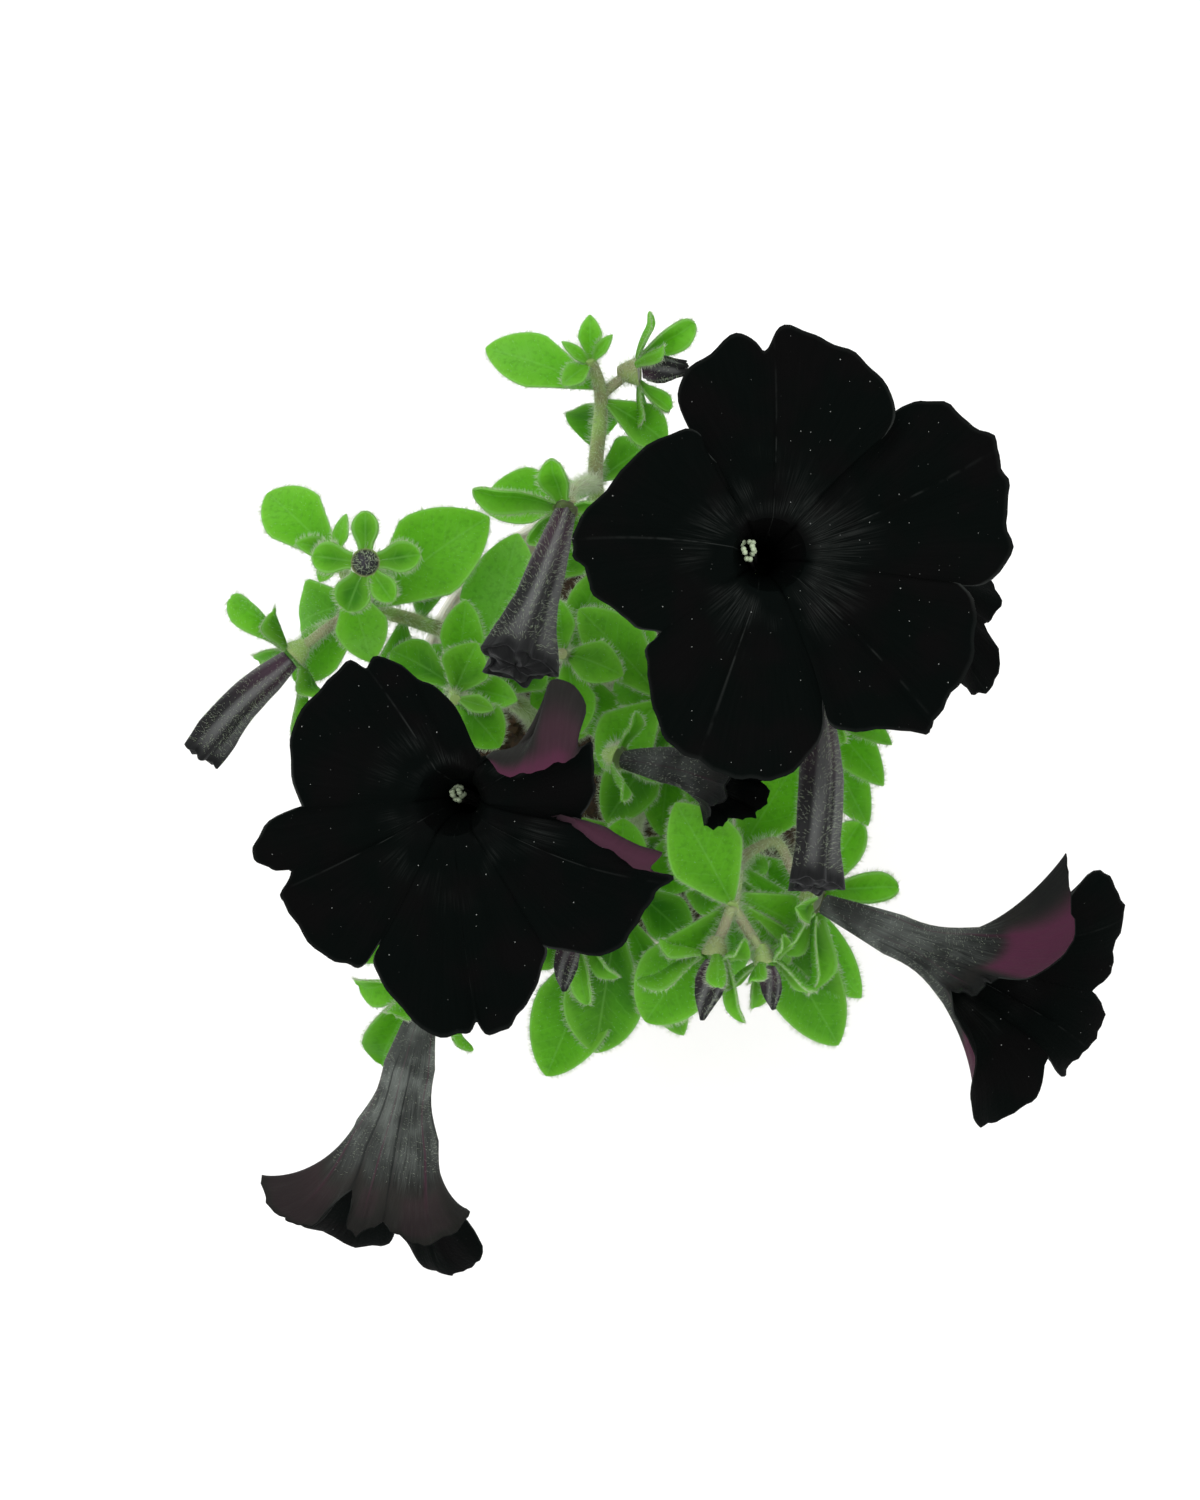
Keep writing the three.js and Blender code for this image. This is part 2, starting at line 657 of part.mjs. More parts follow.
const BLOOMS = {
  bloom_upper_right: {
    base: [19.1, 15.4, 135], throat: [21.4, 10.9, 172],
    axis: [0.06, -0.16, 0.985], right: [1, 0, 0],
    tubeRadius: [1.9, 2.9, 6.4], flare: 0.2, dip: 3, threadCount: 6,
    limb: [
      notch(215, 23), edge(206, 26), edge(199, 28), edge(191, 31, -1), edge(184, 31.5, -1),
      edge(179, 33.5, -2), edge(172, 33, -2), edge(159, 30, -1), edge(144, 28), edge(129, 26, 1),
      edge(124, 23, 1),
      notch(122, 18), edge(120.5, 24, -1), edge(119.5, 30, -2), edge(115, 33.5, -2),
      edge(107, 35.5, -1), edge(99, 37.5), edge(94, 35.5), edge(91, 34.5, 0.5), edge(88, 38),
      edge(82, 38.5, -1), edge(75, 37, -2), edge(67, 37, -2), edge(60, 35.5, -1), edge(53, 33),
      edge(49.5, 29, 1),
      notch(47.5, 25), edge(46, 31, -1), edge(45, 35.5, -2), edge(41, 39, -2), edge(34, 40.5, -3),
      edge(28, 43, -3), edge(22, 42.5, -3), edge(16, 42, -2), edge(8, 40.5, -1), edge(1, 40.5),
      edge(-6, 36.5),
      notch(-9.5, 30.5), edge(-13, 34), edge(-19, 36.5, -1), edge(-28, 38.5, -2), edge(-37, 39, -3),
      edge(-45, 39.5, -4), edge(-48, 40.5, -4), edge(-53, 37, -3), edge(-63, 33, -2), edge(-69, 30.5),
      notch(-71, 26), edge(-76, 31.5, -1), edge(-83, 36, -2), edge(-90, 38, -3), edge(-97, 38, -3),
      edge(-105, 37.5, -3), edge(-113, 36.5, -2), edge(-121, 35.5, -2), edge(-129, 31.5, -1),
      edge(-136, 28.5), edge(-141, 26),
    ],
  },
  bloom_lower_left: {
    base: [-22.8, -27.3, 122.4], throat: [-32.6, -27.9, 152],
    axis: [-0.16, -0.3, 0.94], right: [1, 0, 0],
    tubeRadius: [1.9, 2.9, 6.2], flare: 0.2, dip: 3, threadCount: 6,
    limb: [
      notch(244, 27), edge(241, 32), edge(238, 33.5), edge(232, 35, -1), edge(222, 35.5, -2),
      edge(213, 34.5, -2), edge(208, 33.5, -1), edge(204, 30), edge(201, 33, 1), edge(197, 35, 2),
      edge(193, 34.5, 2), edge(188, 31.5, 1),
      notch(182, 25.5), edge(172, 27), edge(163, 29, -1), edge(155, 30, -2), edge(143, 30, -2),
      edge(134, 29.5, -1), edge(125, 29.5), edge(121, 27), edge(117, 28), edge(110, 26),
      edge(103, 22, 1), edge(94, 20, 1), edge(84, 16.5, 1), edge(70, 12, 0.5),
      notch(52, 10), curled(47, 10.8, 2, 49, 12, 1), curled(34, 11.5, 5, 41, 15.5, 3),
      curled(26, 13.5, 6.5, 39.5, 20.5, 4), curled(24, 16.5, 7, 45, 25, 5),
      curled(23, 19.5, 7, 49, 29, 5), curled(22, 22.5, 7, 43, 30.5, 4.5),
      curled(22, 25, 6, 34, 29.5, 4), edge(25, 27.6, 3), edge(17, 26.6, 2), edge(9, 26, 1),
      edge(2, 24.5),
      notch(-5, 23), curled(-12, 26, 4, -6.5, 26.5, 2), curled(-14, 29, 4.5, -8, 30, 2.5),
      curled(-15.5, 32.5, 4.5, -10, 34, 3), curled(-16.5, 36, 4, -11.5, 38, 2.5), edge(-16, 40.5, 1.5),
      edge(-22, 39), edge(-30, 38, -1), edge(-37, 38.5, -2), edge(-44, 36.5, -1), edge(-51, 31),
      notch(-56, 29), edge(-59, 31), edge(-63, 33.5, -1), edge(-68, 36.5, -2), edge(-73, 39, -3),
      edge(-77, 40.5, -3), edge(-82, 41, -3), edge(-83.5, 38, -2), edge(-86, 40.5, -3),
      edge(-90, 41, -3), edge(-96, 40.5, -2), edge(-103, 37, -1), edge(-110, 33), edge(-114, 30.5),
    ],
  },
  bloom_front: {
    base: [-38.2, -56.3, 111.1], throat: [-44.4, -80.6, 98.3],
    axis: [-0.192, -0.847, -0.497], right: [0.979, -0.201, -0.035],
    tubeRadius: [2.2, 4.4, 7.4], flare: 0.5, dip: 0,
    limb: [
      notch(-11, 13, 12), edge(5, 16, 11.5), edge(25, 16, 12.5), edge(48, 15.5, 13.5),
      edge(62, 13.5, 14), edge(74, 12.5, 13),
      notch(83, 11, 11.5), edge(92, 13.5, 12.5), edge(102, 14, 13.5), edge(112, 13.5, 13),
      notch(122, 10, 8), edge(133, 13, 12.5), edge(144, 14, 16), edge(157, 16, 18), edge(168, 18, 18.5),
      edge(178, 21, 17), edge(187, 22.5, 14), edge(197, 21, 18),
      notch(205, 18, 21), edge(215, 19, 25), edge(228, 20, 28.5), edge(241, 20, 31),
      edge(255, 18.5, 32), edge(268, 18, 31), edge(278, 16.5, 29),
      notch(286, 14, 25), edge(293, 17.5, 29), edge(301, 19.5, 33), edge(309, 20, 33),
      edge(318, 20, 31), edge(327, 21, 28.5), edge(336, 21.5, 25), edge(342, 20, 20),
    ],
  },
  bloom_right: {
    base: [32.5, -41.8, 124.3], throat: [56, -53.6, 130.6],
    axis: [0.851, -0.453, 0.268], right: [0.425, 0.891, 0.157],
    tubeRadius: [2, 3.6, 7], flare: 0.4, dip: 0,
    limb: [
      notch(-12, 17, 11), edge(-5, 23, 9.5), edge(2, 25.5, 8.5), edge(12, 22, 12), edge(26, 18.5, 16.5),
      edge(42, 16.5, 18.5), edge(60, 15.2, 18), edge(77, 14, 15),
      notch(90, 10.5, 8.5), edge(98, 12.5, 8.5), edge(109, 12, 6),
      notch(121, 9, 2.5), edge(132, 11.5, 5), edge(144, 12.5, 7.5), edge(155, 15, 10.5),
      edge(166, 18.5, 12), edge(177, 22, 13.5), edge(186, 24, 15), edge(198, 23, 16),
      edge(211, 21.5, 17.5), edge(224, 19.5, 18.5),
      notch(236, 14.5, 18), edge(243, 23, 19.5), edge(251, 25, 20), edge(261, 24.5, 21),
      edge(272, 23.5, 21.5), edge(282, 22, 20.5),
      notch(290, 18, 19), edge(298, 21.5, 20), edge(306, 23.5, 19.5), edge(314, 26, 18.5),
      edge(322, 27.5, 17.5), edge(331, 28.3, 14.5), edge(339, 27, 12.5),
    ],
  },
  bloom_half_open: {
    base: [-2.8, -16.8, 129.6], throat: [12, -21.6, 142],
    axis: [0.83, -0.3, 0.47], right: [0.34, 0.94, 0],
    tubeRadius: [1.8, 3, 5.2], flare: 0.5, dip: 0,
    limb: [
      notch(0, 8, 6), edge(20, 12, 9), edge(40, 11, 9), edge(58, 10, 9),
      notch(72, 8, 7), edge(90, 10, 9.5), edge(108, 10, 9.5), edge(126, 9, 8),
      notch(144, 8, 5), edge(160, 9, 4), edge(180, 9, 3), edge(200, 8.5, 3.5),
      notch(216, 7.2, 4), edge(234, 8, 6), edge(252, 8.5, 7), edge(270, 9, 7.5),
      notch(288, 8, 6), edge(306, 10, 8), edge(324, 11, 9), edge(342, 11, 8),
    ],
  },
  bloom_behind: {
    base: [34.3, 8.6, 124.7], throat: [46.5, 14, 147],
    axis: [0.66, 0.24, 0.71], right: [0, 1, 0],
    tubeRadius: [1.9, 2.9, 6], flare: 0.25, dip: 1,
    limb: [
      notch(18, 16, 0), edge(10, 20, -1), edge(-4, 21, -2), edge(-18, 21, -2), edge(-32, 20, -2),
      edge(-44, 19, -1),
      notch(-54, 15, -1), edge(-64, 18, -1), edge(-76, 19.5, -1), edge(-88, 20, 0), edge(-102, 20.5, 1),
      edge(-114, 19, 1),
      notch(-124, 17, 2), edge(-136, 22, 2), edge(-150, 25, 2), edge(-162, 25, 2), edge(-176, 23, 3),
      notch(-188, 18, 3), edge(-200, 22, 2), edge(-214, 23, 1), edge(-228, 23, 1), edge(-242, 22, 2),
      notch(-254, 18, 3), edge(-266, 22, 1), edge(-282, 24, 0), edge(-298, 25, 0), edge(-314, 25, 2),
      edge(-330, 22, 2),
    ],
  },
};

// Where each spoke leaves the throat: evenly between the notches on either side of it.
function throatAngles(limb) {
  const notches = limb.map((spoke, index) => (spoke.parts ? index : -1)).filter((index) => index >= 0);
  const turn = Math.sign(limb[1].angle - limb[0].angle) * 360;
  const angles = [];
  notches.forEach((start, lobe) => {
    const last = lobe === notches.length - 1;
    const end = last ? limb.length : notches[lobe + 1];
    const endAngle = last ? limb[0].angle + turn : limb[end].angle;
    for (let index = start; index < end; index += 1) {
      angles.push(mix(limb[start].angle, endAngle, (index - start) / (end - start)));
    }
  });
  return angles;
}

// The axes of a bloom and the curved middle line of its tube.
function bloomFrame({ base, throat, axis, right }) {
  const start = V(base);
  const mouth = V(throat);
  const forward = V(axis).normalize();
  const side = V(right).addScaledVector(forward, -V(right).dot(forward)).normalize();
  const up = new THREE.Vector3().crossVectors(forward, side);
  const bend = mouth.clone().addScaledVector(forward, -start.distanceTo(mouth) * TUBE_BEND);
  const centreLine = new THREE.QuadraticBezierCurve3(start, bend, mouth);
  return { start, mouth, forward, side, up, centreLine };
}

function corolla(bloom) {
  const { tubeRadius, flare, dip, limb } = bloom;
  const { start, mouth, forward, side, up, centreLine } = bloomFrame(bloom);
  const place = (centre, angle, radius, rise) => centre.clone()
    .addScaledVector(side, Math.cos(radians(angle)) * radius)
    .addScaledVector(up, Math.sin(radians(angle)) * radius)
    .addScaledVector(forward, rise);
  const fromThroat = throatAngles(limb);
  const spokes = limb.length;
  const [baseRadius, waistRadius, throatRadius] = tubeRadius;
  const points = [start.clone()];
  const tubeSpoke = (index) => Math.floor((index * TUBE_SIDES) / spokes);
  for (const share of TUBE_RINGS) {
    const radius = mix(baseRadius, waistRadius, share * 2);
    for (let index = 0; index < TUBE_SIDES; index += 1) {
      const angle = fromThroat[Math.ceil((index * spokes) / TUBE_SIDES)];
      points.push(place(centreLine.getPoint(share), angle, radius, 0));
    }
  }
  const firstThroat = points.length;
  for (const angle of fromThroat) {
    points.push(place(mouth, angle, throatRadius, 0));
  }
  for (let ring = 1; ring <= LIMB_RINGS; ring += 1) {
    const share = ring / LIMB_RINGS;
    limb.forEach((spoke, index) => {
      const turned = spoke.fold && share < 1;
      const [angle, radius, rise] = turned ? spoke.fold : [spoke.angle, spoke.radius, spoke.rise];
      const reach = turned ? ring / (LIMB_RINGS - 1) : share;
      const turnShare = mix(reach, reach * reach, flare);
      const lift = dip * (1 - Math.pow(1 - reach, 2)) + rise * (1 - Math.pow(1 - reach, 1 + flare));
      const ringRadius = mix(throatRadius, radius, turnShare);
      points.push(place(mouth, mix(fromThroat[index], angle, turnShare), ringRadius, lift));
    });
  }
  const triangles = [];
  for (let index = 0; index < TUBE_SIDES; index += 1) {
    const next = (index + 1) % TUBE_SIDES;
    triangles.push([0, 1 + index, 1 + next]);
    for (let ring = 0; ring < TUBE_RINGS.length - 1; ring += 1) {
      const [a, b] = [1 + ring * TUBE_SIDES + index, 1 + ring * TUBE_SIDES + next];
      triangles.push([a, a + TUBE_SIDES, b + TUBE_SIDES], [a, b + TUBE_SIDES, b]);
    }
  }
  const lastTube = firstThroat - TUBE_SIDES;
  for (let index = 0; index < spokes; index += 1) {
    const next = (index + 1) % spokes;
    const [a, b] = [lastTube + tubeSpoke(index), lastTube + tubeSpoke(next)];
    triangles.push([a, firstThroat + index, firstThroat + next]);
    if (a !== b) {
      triangles.push([a, firstThroat + next, b]);
    }
    for (let ring = 0; ring < LIMB_RINGS; ring += 1) {
      const [c, d] = [firstThroat + ring * spokes + index, firstThroat + ring * spokes + next];
      triangles.push([c, c + spokes, d + spokes], [c, d + spokes, d]);
    }
  }
  return thicken(points, triangles, PETAL_THICKNESS);
}

// Furled buds: a ribbed spindle along a curve, its end ruffled where the lobes are still rolled up.

const BUDS = {
  long_bud_centre: {
    path: [[-13.4, 24, 145.6], [-17.5, 9, 154], [-21.5, -5, 159]],
    radii: [1.7, 2.4, 3, 3.4, 4.6, 6], ruffle: 1.4,
  },
  long_bud_left: {
    path: [[-63.1, 3.7, 117.9], [-72, -4, 116], [-79, -12, 112]],
    radii: [1.8, 2.6, 3, 3.2, 3.6, 3.2], ruffle: 1.2,
  },
  long_bud_right: {
    path: [[31.4, -8.2, 137.9], [30.5, -26, 148], [29.3, -42, 151]],
    radii: [1.8, 2.8, 3.6, 3.7, 3.5, 4.2], ruffle: 1,
  },
  small_bud_back: {
    path: [[1, 56, 121.7], [4.5, 56, 123], [8.5, 56, 123.5]],
    radii: [1.6, 2, 1.8, 1.4], ruffle: 0.4,
  },
  small_bud_front_right: {
    path: [[12.8, -52.3, 127.6], [11.8, -57, 126.5], [10.8, -62, 123.6]],
    radii: [1.5, 2.1, 2.2, 1.7, 0.9], ruffle: 0.3,
  },
  small_bud_front_far_right: {
    path: [[22.2, -53.2, 125.1], [23, -57, 123.6], [23.4, -60, 121.6]],
    radii: [1.3, 1.6, 1.4, 0.8], ruffle: 0.2,
  },
  small_bud_front: {
    path: [[-12.7, -47.9, 121.2], [-13.4, -52.5, 121.2], [-13.6, -56.4, 119.5]],
    radii: [1.3, 1.8, 1.6, 0.9], ruffle: 0.3,
  },
};
function furledBud({ path, radii, ruffle }) {
  const curve = new THREE.CatmullRomCurve3(path.map(V));
  const rings = radii.length;
  const frames = curve.computeFrenetFrames(rings - 1, false);
  const points = [];
  radii.forEach((radius, ring) => {
    const centre = curve.getPointAt(ring / (rings - 1));
    const last = ring === rings - 1;
    for (let side = 0; side < BUD_SIDES; side += 1) {
      const angle = (2 * Math.PI * side) / BUD_SIDES;
      const rib = 1 + RIB_DEPTH * Math.cos(RIBS * angle);
      const point = centre.clone();
      point.addScaledVector(frames.normals[ring], Math.cos(angle) * radius * rib);
      point.addScaledVector(frames.binormals[ring], Math.sin(angle) * radius * rib);
      if (last) {
        point.addScaledVector(frames.tangents[ring], ruffle * (0.5 + Math.cos(RIBS * angle)));
      }
      points.push(point);
    }
  });
  const start = points.length;
  const mouth = curve.getPointAt(1).addScaledVector(frames.tangents[rings - 1], -ruffle * MOUTH_DEPTH);
  points.push(curve.getPointAt(0), mouth);
  const triangles = [];
  for (let side = 0; side < BUD_SIDES; side += 1) {
    const next = (side + 1) % BUD_SIDES;
    const end = (rings - 1) * BUD_SIDES;
    triangles.push([start, side, next], [start + 1, end + next, end + side]);
    for (let ring = 0; ring < rings - 1; ring += 1) {
      const [a, b] = [ring * BUD_SIDES + side, ring * BUD_SIDES + next];
      triangles.push([a, a + BUD_SIDES, b + BUD_SIDES], [a, b + BUD_SIDES, b]);
    }
  }
  return solidOf(points, triangles);
}

// Stamens and style of an open bloom on one foot: five threads with anthers and one with its stigma, or
// the three longest where the bloom is seen from its side and hides them.

const STAMENS = {
  threadRadius: 0.35,
  threadSides: 3,
  antherRadius: 0.95,
  antherLength: 2.2,
  foot: [0.11, 0.19],
  footRadius: 0.75,
  root: 0.14,
  rootCircle: 0.15,
  firstAngle: 20,
  spread: 2.1,
  reach: 0.93,
  stagger: 0.03,
};

function stamens(bloom) {
  const { threadCount = 3 } = bloom;
  const { side, up, centreLine } = bloomFrame(bloom);
  const { threadRadius, threadSides, antherRadius, antherLength, footRadius } = STAMENS;
  const footPath = STAMENS.foot.map((share) => centreLine.getPoint(share).toArray());
  const foot = stalk(footPath, [footRadius, footRadius], 1);
  const threads = [];
  for (let index = 0; index < threadCount; index += 1) {
    const angle = radians((360 * index) / threadCount + STAMENS.firstAngle);
    const off = side.clone().multiplyScalar(Math.cos(angle)).addScaledVector(up, Math.sin(angle));
    const reach = STAMENS.reach - STAMENS.stagger * (index % 3);
    const path = [STAMENS.root, 0.5, reach].map((share) => centreLine.getPoint(share)
      .addScaledVector(off, STAMENS.spread * share + STAMENS.rootCircle));
    const aim = new THREE.Vector3().subVectors(path[2], path[1]).normalize();
    path.push(path[2].clone().addScaledVector(aim, antherLength / 2));
    path.push(path[2].clone().addScaledVector(aim, antherLength));
    const radii = [threadRadius, threadRadius, threadRadius, antherRadius, threadRadius];
    threads.push(stalk(path.map((point) => point.toArray()), radii, 1, threadSides));
  }
  return threads.reduce((whole, piece) => whole.add(piece), foot);
}

// Pot and soil

function ringWall(profile) {
  const points = profile.map(([radius, z]) => new THREE.Vector2(radius, z));
  return solidFromGeometry(new THREE.LatheGeometry(points, POT.facets).rotateX(Math.PI / 2));
}

// The radius of the pot's outer face, which widens evenly from the foot to under the rim.
const bodyRadius = (z) => mix(POT.footRadius, POT.rimRadius - POT.wall, z / (POT.height - POT.rimDepth));

function upright(radius, x, y, zFrom, zTo, sides = 8) {
  const post = new THREE.CylinderGeometry(radius, radius, zTo - zFrom, sides);
  post.rotateX(Math.PI / 2);
  post.translate(x, y, (zFrom + zTo) / 2);
  return solidFromGeometry(post);
}

function pot() {
  const { height, rimRadius, rimDepth, wall, floor } = POT;
  const neck = height - rimDepth;
  const body = ringWall([
    [0, 0], [bodyRadius(0), 0], [bodyRadius(neck), neck], [rimRadius, neck], [rimRadius, height],
    [rimRadius - wall, height], [rimRadius - wall, neck + wall], [bodyRadius(neck) - wall, neck],
    [bodyRadius(floor) - wall, floor], [0, floor],
  ]);
  let potted = body;
  for (let hole = 0; hole < POT.drainHoles; hole += 1) {
    const angle = (2 * Math.PI * hole) / POT.drainHoles;
    const [x, y] = [Math.cos(angle) * POT.drainCircle, Math.sin(angle) * POT.drainCircle];
    potted = potted.subtract(upright(POT.drainRadius, x, y, -floor, 2 * floor));
  }
  return potted;
}

function soil() {
  const { top, clearance, crown } = SOIL;
  const inner = (z) => bodyRadius(z) - POT.wall - clearance;
  const neck = POT.height - POT.rimDepth;
  const bottom = POT.floor + clearance;
  const edge = inner(neck - SOIL.shoulder);
  let plug = ringWall([
    [0, bottom], [inner(bottom), bottom], [edge, neck - SOIL.shoulder], [edge - SOIL.shoulder / 2, top],
    [edge / 2, top + crown], [0, top + crown],
  ]);
  for (const { stems } of Object.values(SHOOTS)) {
    const { path, from } = stems[0];
    const [x, y] = path[0];
    const radius = from + HOLE_CLEARANCE + STEM_LEAN;
    plug = plug.subtract(upright(radius, x, y, ROOT_Z - HOLE_CLEARANCE, POT.height));
  }
  return plug;
}

// The potted plant

const plant = new THREE.Group();

function addPiece(name, solid, finish) {
  const [color, roughness] = FINISHES[finish];
  const material = new THREE.MeshStandardMaterial({ color, roughness, metalness: 0 });
  const mesh = new THREE.Mesh(geometryFromSolid(solid), material);
  mesh.name = name;
  plant.add(mesh);
}

addPiece('pot', pot(), 'pot');
addPiece('soil', soil(), 'soil');
for (const [name, shoot] of Object.entries(SHOOTS)) {
  addPiece(name, leafyStem(shoot), 'foliage');
}
for (const [name, bloom] of Object.entries(BLOOMS)) {
  addPiece(name, corolla(bloom), 'petal');
  addPiece(name.replace('bloom', 'stamens'), stamens(bloom), 'stamen');
}
for (const [name, bud] of Object.entries(BUDS)) {
  addPiece(name, furledBud(bud), 'bud');
}

export default plant;
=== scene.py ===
"""A black-flowered petunia growing in a plain round nursery pot.

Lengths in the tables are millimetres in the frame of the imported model: the origin is the centre of the
pot's foot, +Z is up and +Y points to the back of the plant. Meshes are turned to metres as they are made.
"""

import logging
import math
from dataclasses import dataclass, replace
from enum import Enum
from typing import Optional, Sequence, Union

import bpy
import numpy as np
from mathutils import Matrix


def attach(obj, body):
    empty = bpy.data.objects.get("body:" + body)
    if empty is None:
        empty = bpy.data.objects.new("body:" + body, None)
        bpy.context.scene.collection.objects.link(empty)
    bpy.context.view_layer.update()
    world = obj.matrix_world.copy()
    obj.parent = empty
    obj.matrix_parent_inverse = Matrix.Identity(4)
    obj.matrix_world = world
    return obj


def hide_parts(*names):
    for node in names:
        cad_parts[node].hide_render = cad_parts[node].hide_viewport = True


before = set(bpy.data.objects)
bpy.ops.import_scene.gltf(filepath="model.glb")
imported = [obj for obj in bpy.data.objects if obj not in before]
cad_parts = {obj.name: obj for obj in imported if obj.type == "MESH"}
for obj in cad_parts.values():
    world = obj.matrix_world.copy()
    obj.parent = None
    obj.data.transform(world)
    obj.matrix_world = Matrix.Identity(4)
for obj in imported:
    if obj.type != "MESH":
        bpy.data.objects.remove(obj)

LOG = logging.getLogger("petunia")
MM = 0.001
TURN = 2 * math.pi
Point = Sequence[float]
Fields = dict[str, Union[float, np.ndarray]]
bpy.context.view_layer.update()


# Part sizes shared with the CAD source, in millimetres
POT_HEIGHT = 78
RIM_RADIUS = 43
RIM_DEPTH = 9
FOOT_RADIUS = 31
POT_WALL = 1.5
POT_FLOOR = 2.5
DRAIN_HOLES = 6
DRAIN_RADIUS = 3.2
DRAIN_CIRCLE = 20
SOIL_TOP = 70
SOIL_CLEARANCE = 0.3
SOIL_CROWN = 2.5
STALK_REACH = 0.45
CALYX_LENGTH = 3.5
WIDEST = 0.55
PLUMP = 1.55
SEAT_STEPS = 60
TUBE_BEND = 0.5
STEEP = 0.2

# Shapes that scene.py adds, in millimetres or shares of the whole
STALK_RADII = (1.0, 0.9)
BLADE_THICKNESS = 0.5
BLADE_NECK = 0.5
BLADE_TIP = 0.08
PETAL_THICKNESS = 0.45
ANTHER_RADII = (0.15, 0.38, 0.48, 0.48, 0.38, 0.12)
LAP_RISE = 0.7
LAP_SHARES = (1.0, 0.55, 0.15)
FOLD_SHARE = 2 / 3
FOLD_RISE = 1.2
FURROW_DEPTH = 0.18
FURROW_WIDTH = 0.5
RIDGE_HEIGHT = 0.12
RIDGE_WIDTH = 0.4
RUFFLE_HEIGHT = 0.8
CREASE_DEPTH = 0.5
SEAM_DEPTH = 0.6
PUFF_HEIGHT = 0.7
BUD_RIBS = 5
# Heights over which a leaf's tone is raised by painted light, and how far it is raised at the top
PAINTED_LIGHT_HEIGHTS = (86, 122)
PAINTED_LIGHT_TONE = 0.35
CROWN_FALL = (16, 38)
ANY_PHASE = 6.28
ANY_TURN = 6.283

# Profiles: height up the calyx cup and its width; rise of the dome within it, its width and how deep it
# is sunk; and how far inward and forward the rows of a bud's mouth lie
CUP = ((0.0, 0.42), (0.25, 0.62), (0.5, 0.8), (0.75, 0.93), (0.95, 1.0), (1.0, 0.97))
HEART = ((0.0, 0.8, 0.4), (0.35, 0.62, 0.2), (0.75, 0.4, 0.2), (0.95, 0.2, 0.2), (1.0, 0.03, 0.2))
BUD_MOUTH = ((0.07, 0.12), (0.18, -0.25), (0.3, 0.35), (0.5, 0.8), (0.75, 0.75), (0.97, 0.5))

# Fineness of the meshes: rows and columns of points
LONG_LEAF = 10
LEAF_ROWS = (14, 22)
LEAF_COLUMNS = 11
SEPAL_ROWS = 14
SEPAL_COLUMNS = 9
CUP_SIDES = 24
TUBE_ROWS = 16
LIMB_ROWS = 27
RINGS_A_SPAN = 8
BETWEEN = 4
BUD_ROWS = 34
BUD_SIDES = 60
POT_SIDES = 120
SOIL_SIDES = 96
SOIL_ROWS = 44


class Where(Enum):
    """Which material slot of a piece a run of faces takes."""

    FACE = 0
    BACK = 1
    STALK = 2


def unit(vector: np.ndarray) -> np.ndarray:
    """Scale one vector, or each row of many, to length one."""
    length = np.linalg.norm(vector, axis=-1, keepdims=True)
    return vector / np.maximum(length, 1e-9)


def turned(vector: np.ndarray, axis: np.ndarray, angle: Union[float, np.ndarray]) -> np.ndarray:
    """Turn a vector about a unit axis.

    Args:
        vector: the vector to turn.
        axis: the unit axis.
        angle: one angle or a column of angles, in radians.

    Returns:
        The turned vector, or one row for each angle.
    """
    angle = np.asarray(angle)[..., None]
    across = np.cross(axis, vector)
    keep = axis * np.dot(vector, axis)
    return vector * np.cos(angle) + across * np.sin(angle) + keep * (1 - np.cos(angle))


def smooth(low: float, high: float, value: np.ndarray) -> np.ndarray:
    """Rise smoothly from 0 at low to 1 at high."""
    share = np.clip((np.asarray(value, float) - low) / (high - low), 0, 1)
    return share * share * (3 - 2 * share)


def column(values: np.ndarray) -> np.ndarray:
    """Stand a row of values upright, to work on the rows of a grid."""
    return np.asarray(values)[:, None]


@dataclass(frozen=True)
class SmoothPath:
    """A curve through a few points, as a real stem bends: the centripetal spline of the CAD source."""

    points: tuple[Point, ...]

    def at(self, share: float) -> np.ndarray:
        """Give the point at a share of the way, the spans counting alike."""
        pts = [np.asarray(p, float) for p in self.points]
        place = share * (len(pts) - 1)
        index = min(int(place), len(pts) - 2)
        before = pts[index - 1] if index else 2 * pts[0] - pts[1]
        after = pts[index + 2] if index + 2 < len(pts) else 2 * pts[-1] - pts[-2]
        run = (before, pts[index], pts[index + 1], after)
        steps = [max(np.linalg.norm(b - a) ** 0.5, 1e-2) for a, b in zip(run, run[1:])]
        leave = (run[1] - run[0]) / steps[0] - (run[2] - run[0]) / (steps[0] + steps[1])
        leave = (leave + (run[2] - run[1]) / steps[1]) * steps[1]
        arrive = (run[2] - run[1]) / steps[1] - (run[3] - run[1]) / (steps[1] + steps[2])
        arrive = (arrive + (run[3] - run[2]) / steps[2]) * steps[1]
        t = place - index
        square = (3 * (run[2] - run[1]) - 2 * leave - arrive) * t ** 2
        cube = (2 * (run[1] - run[2]) + leave + arrive) * t ** 3
        return run[1] + leave * t + square + cube

    def sampled(self, count: int) -> np.ndarray:
        """Give count + 1 points spread evenly over the spans."""
        return np.array([self.at(step / count) for step in range(count + 1)])


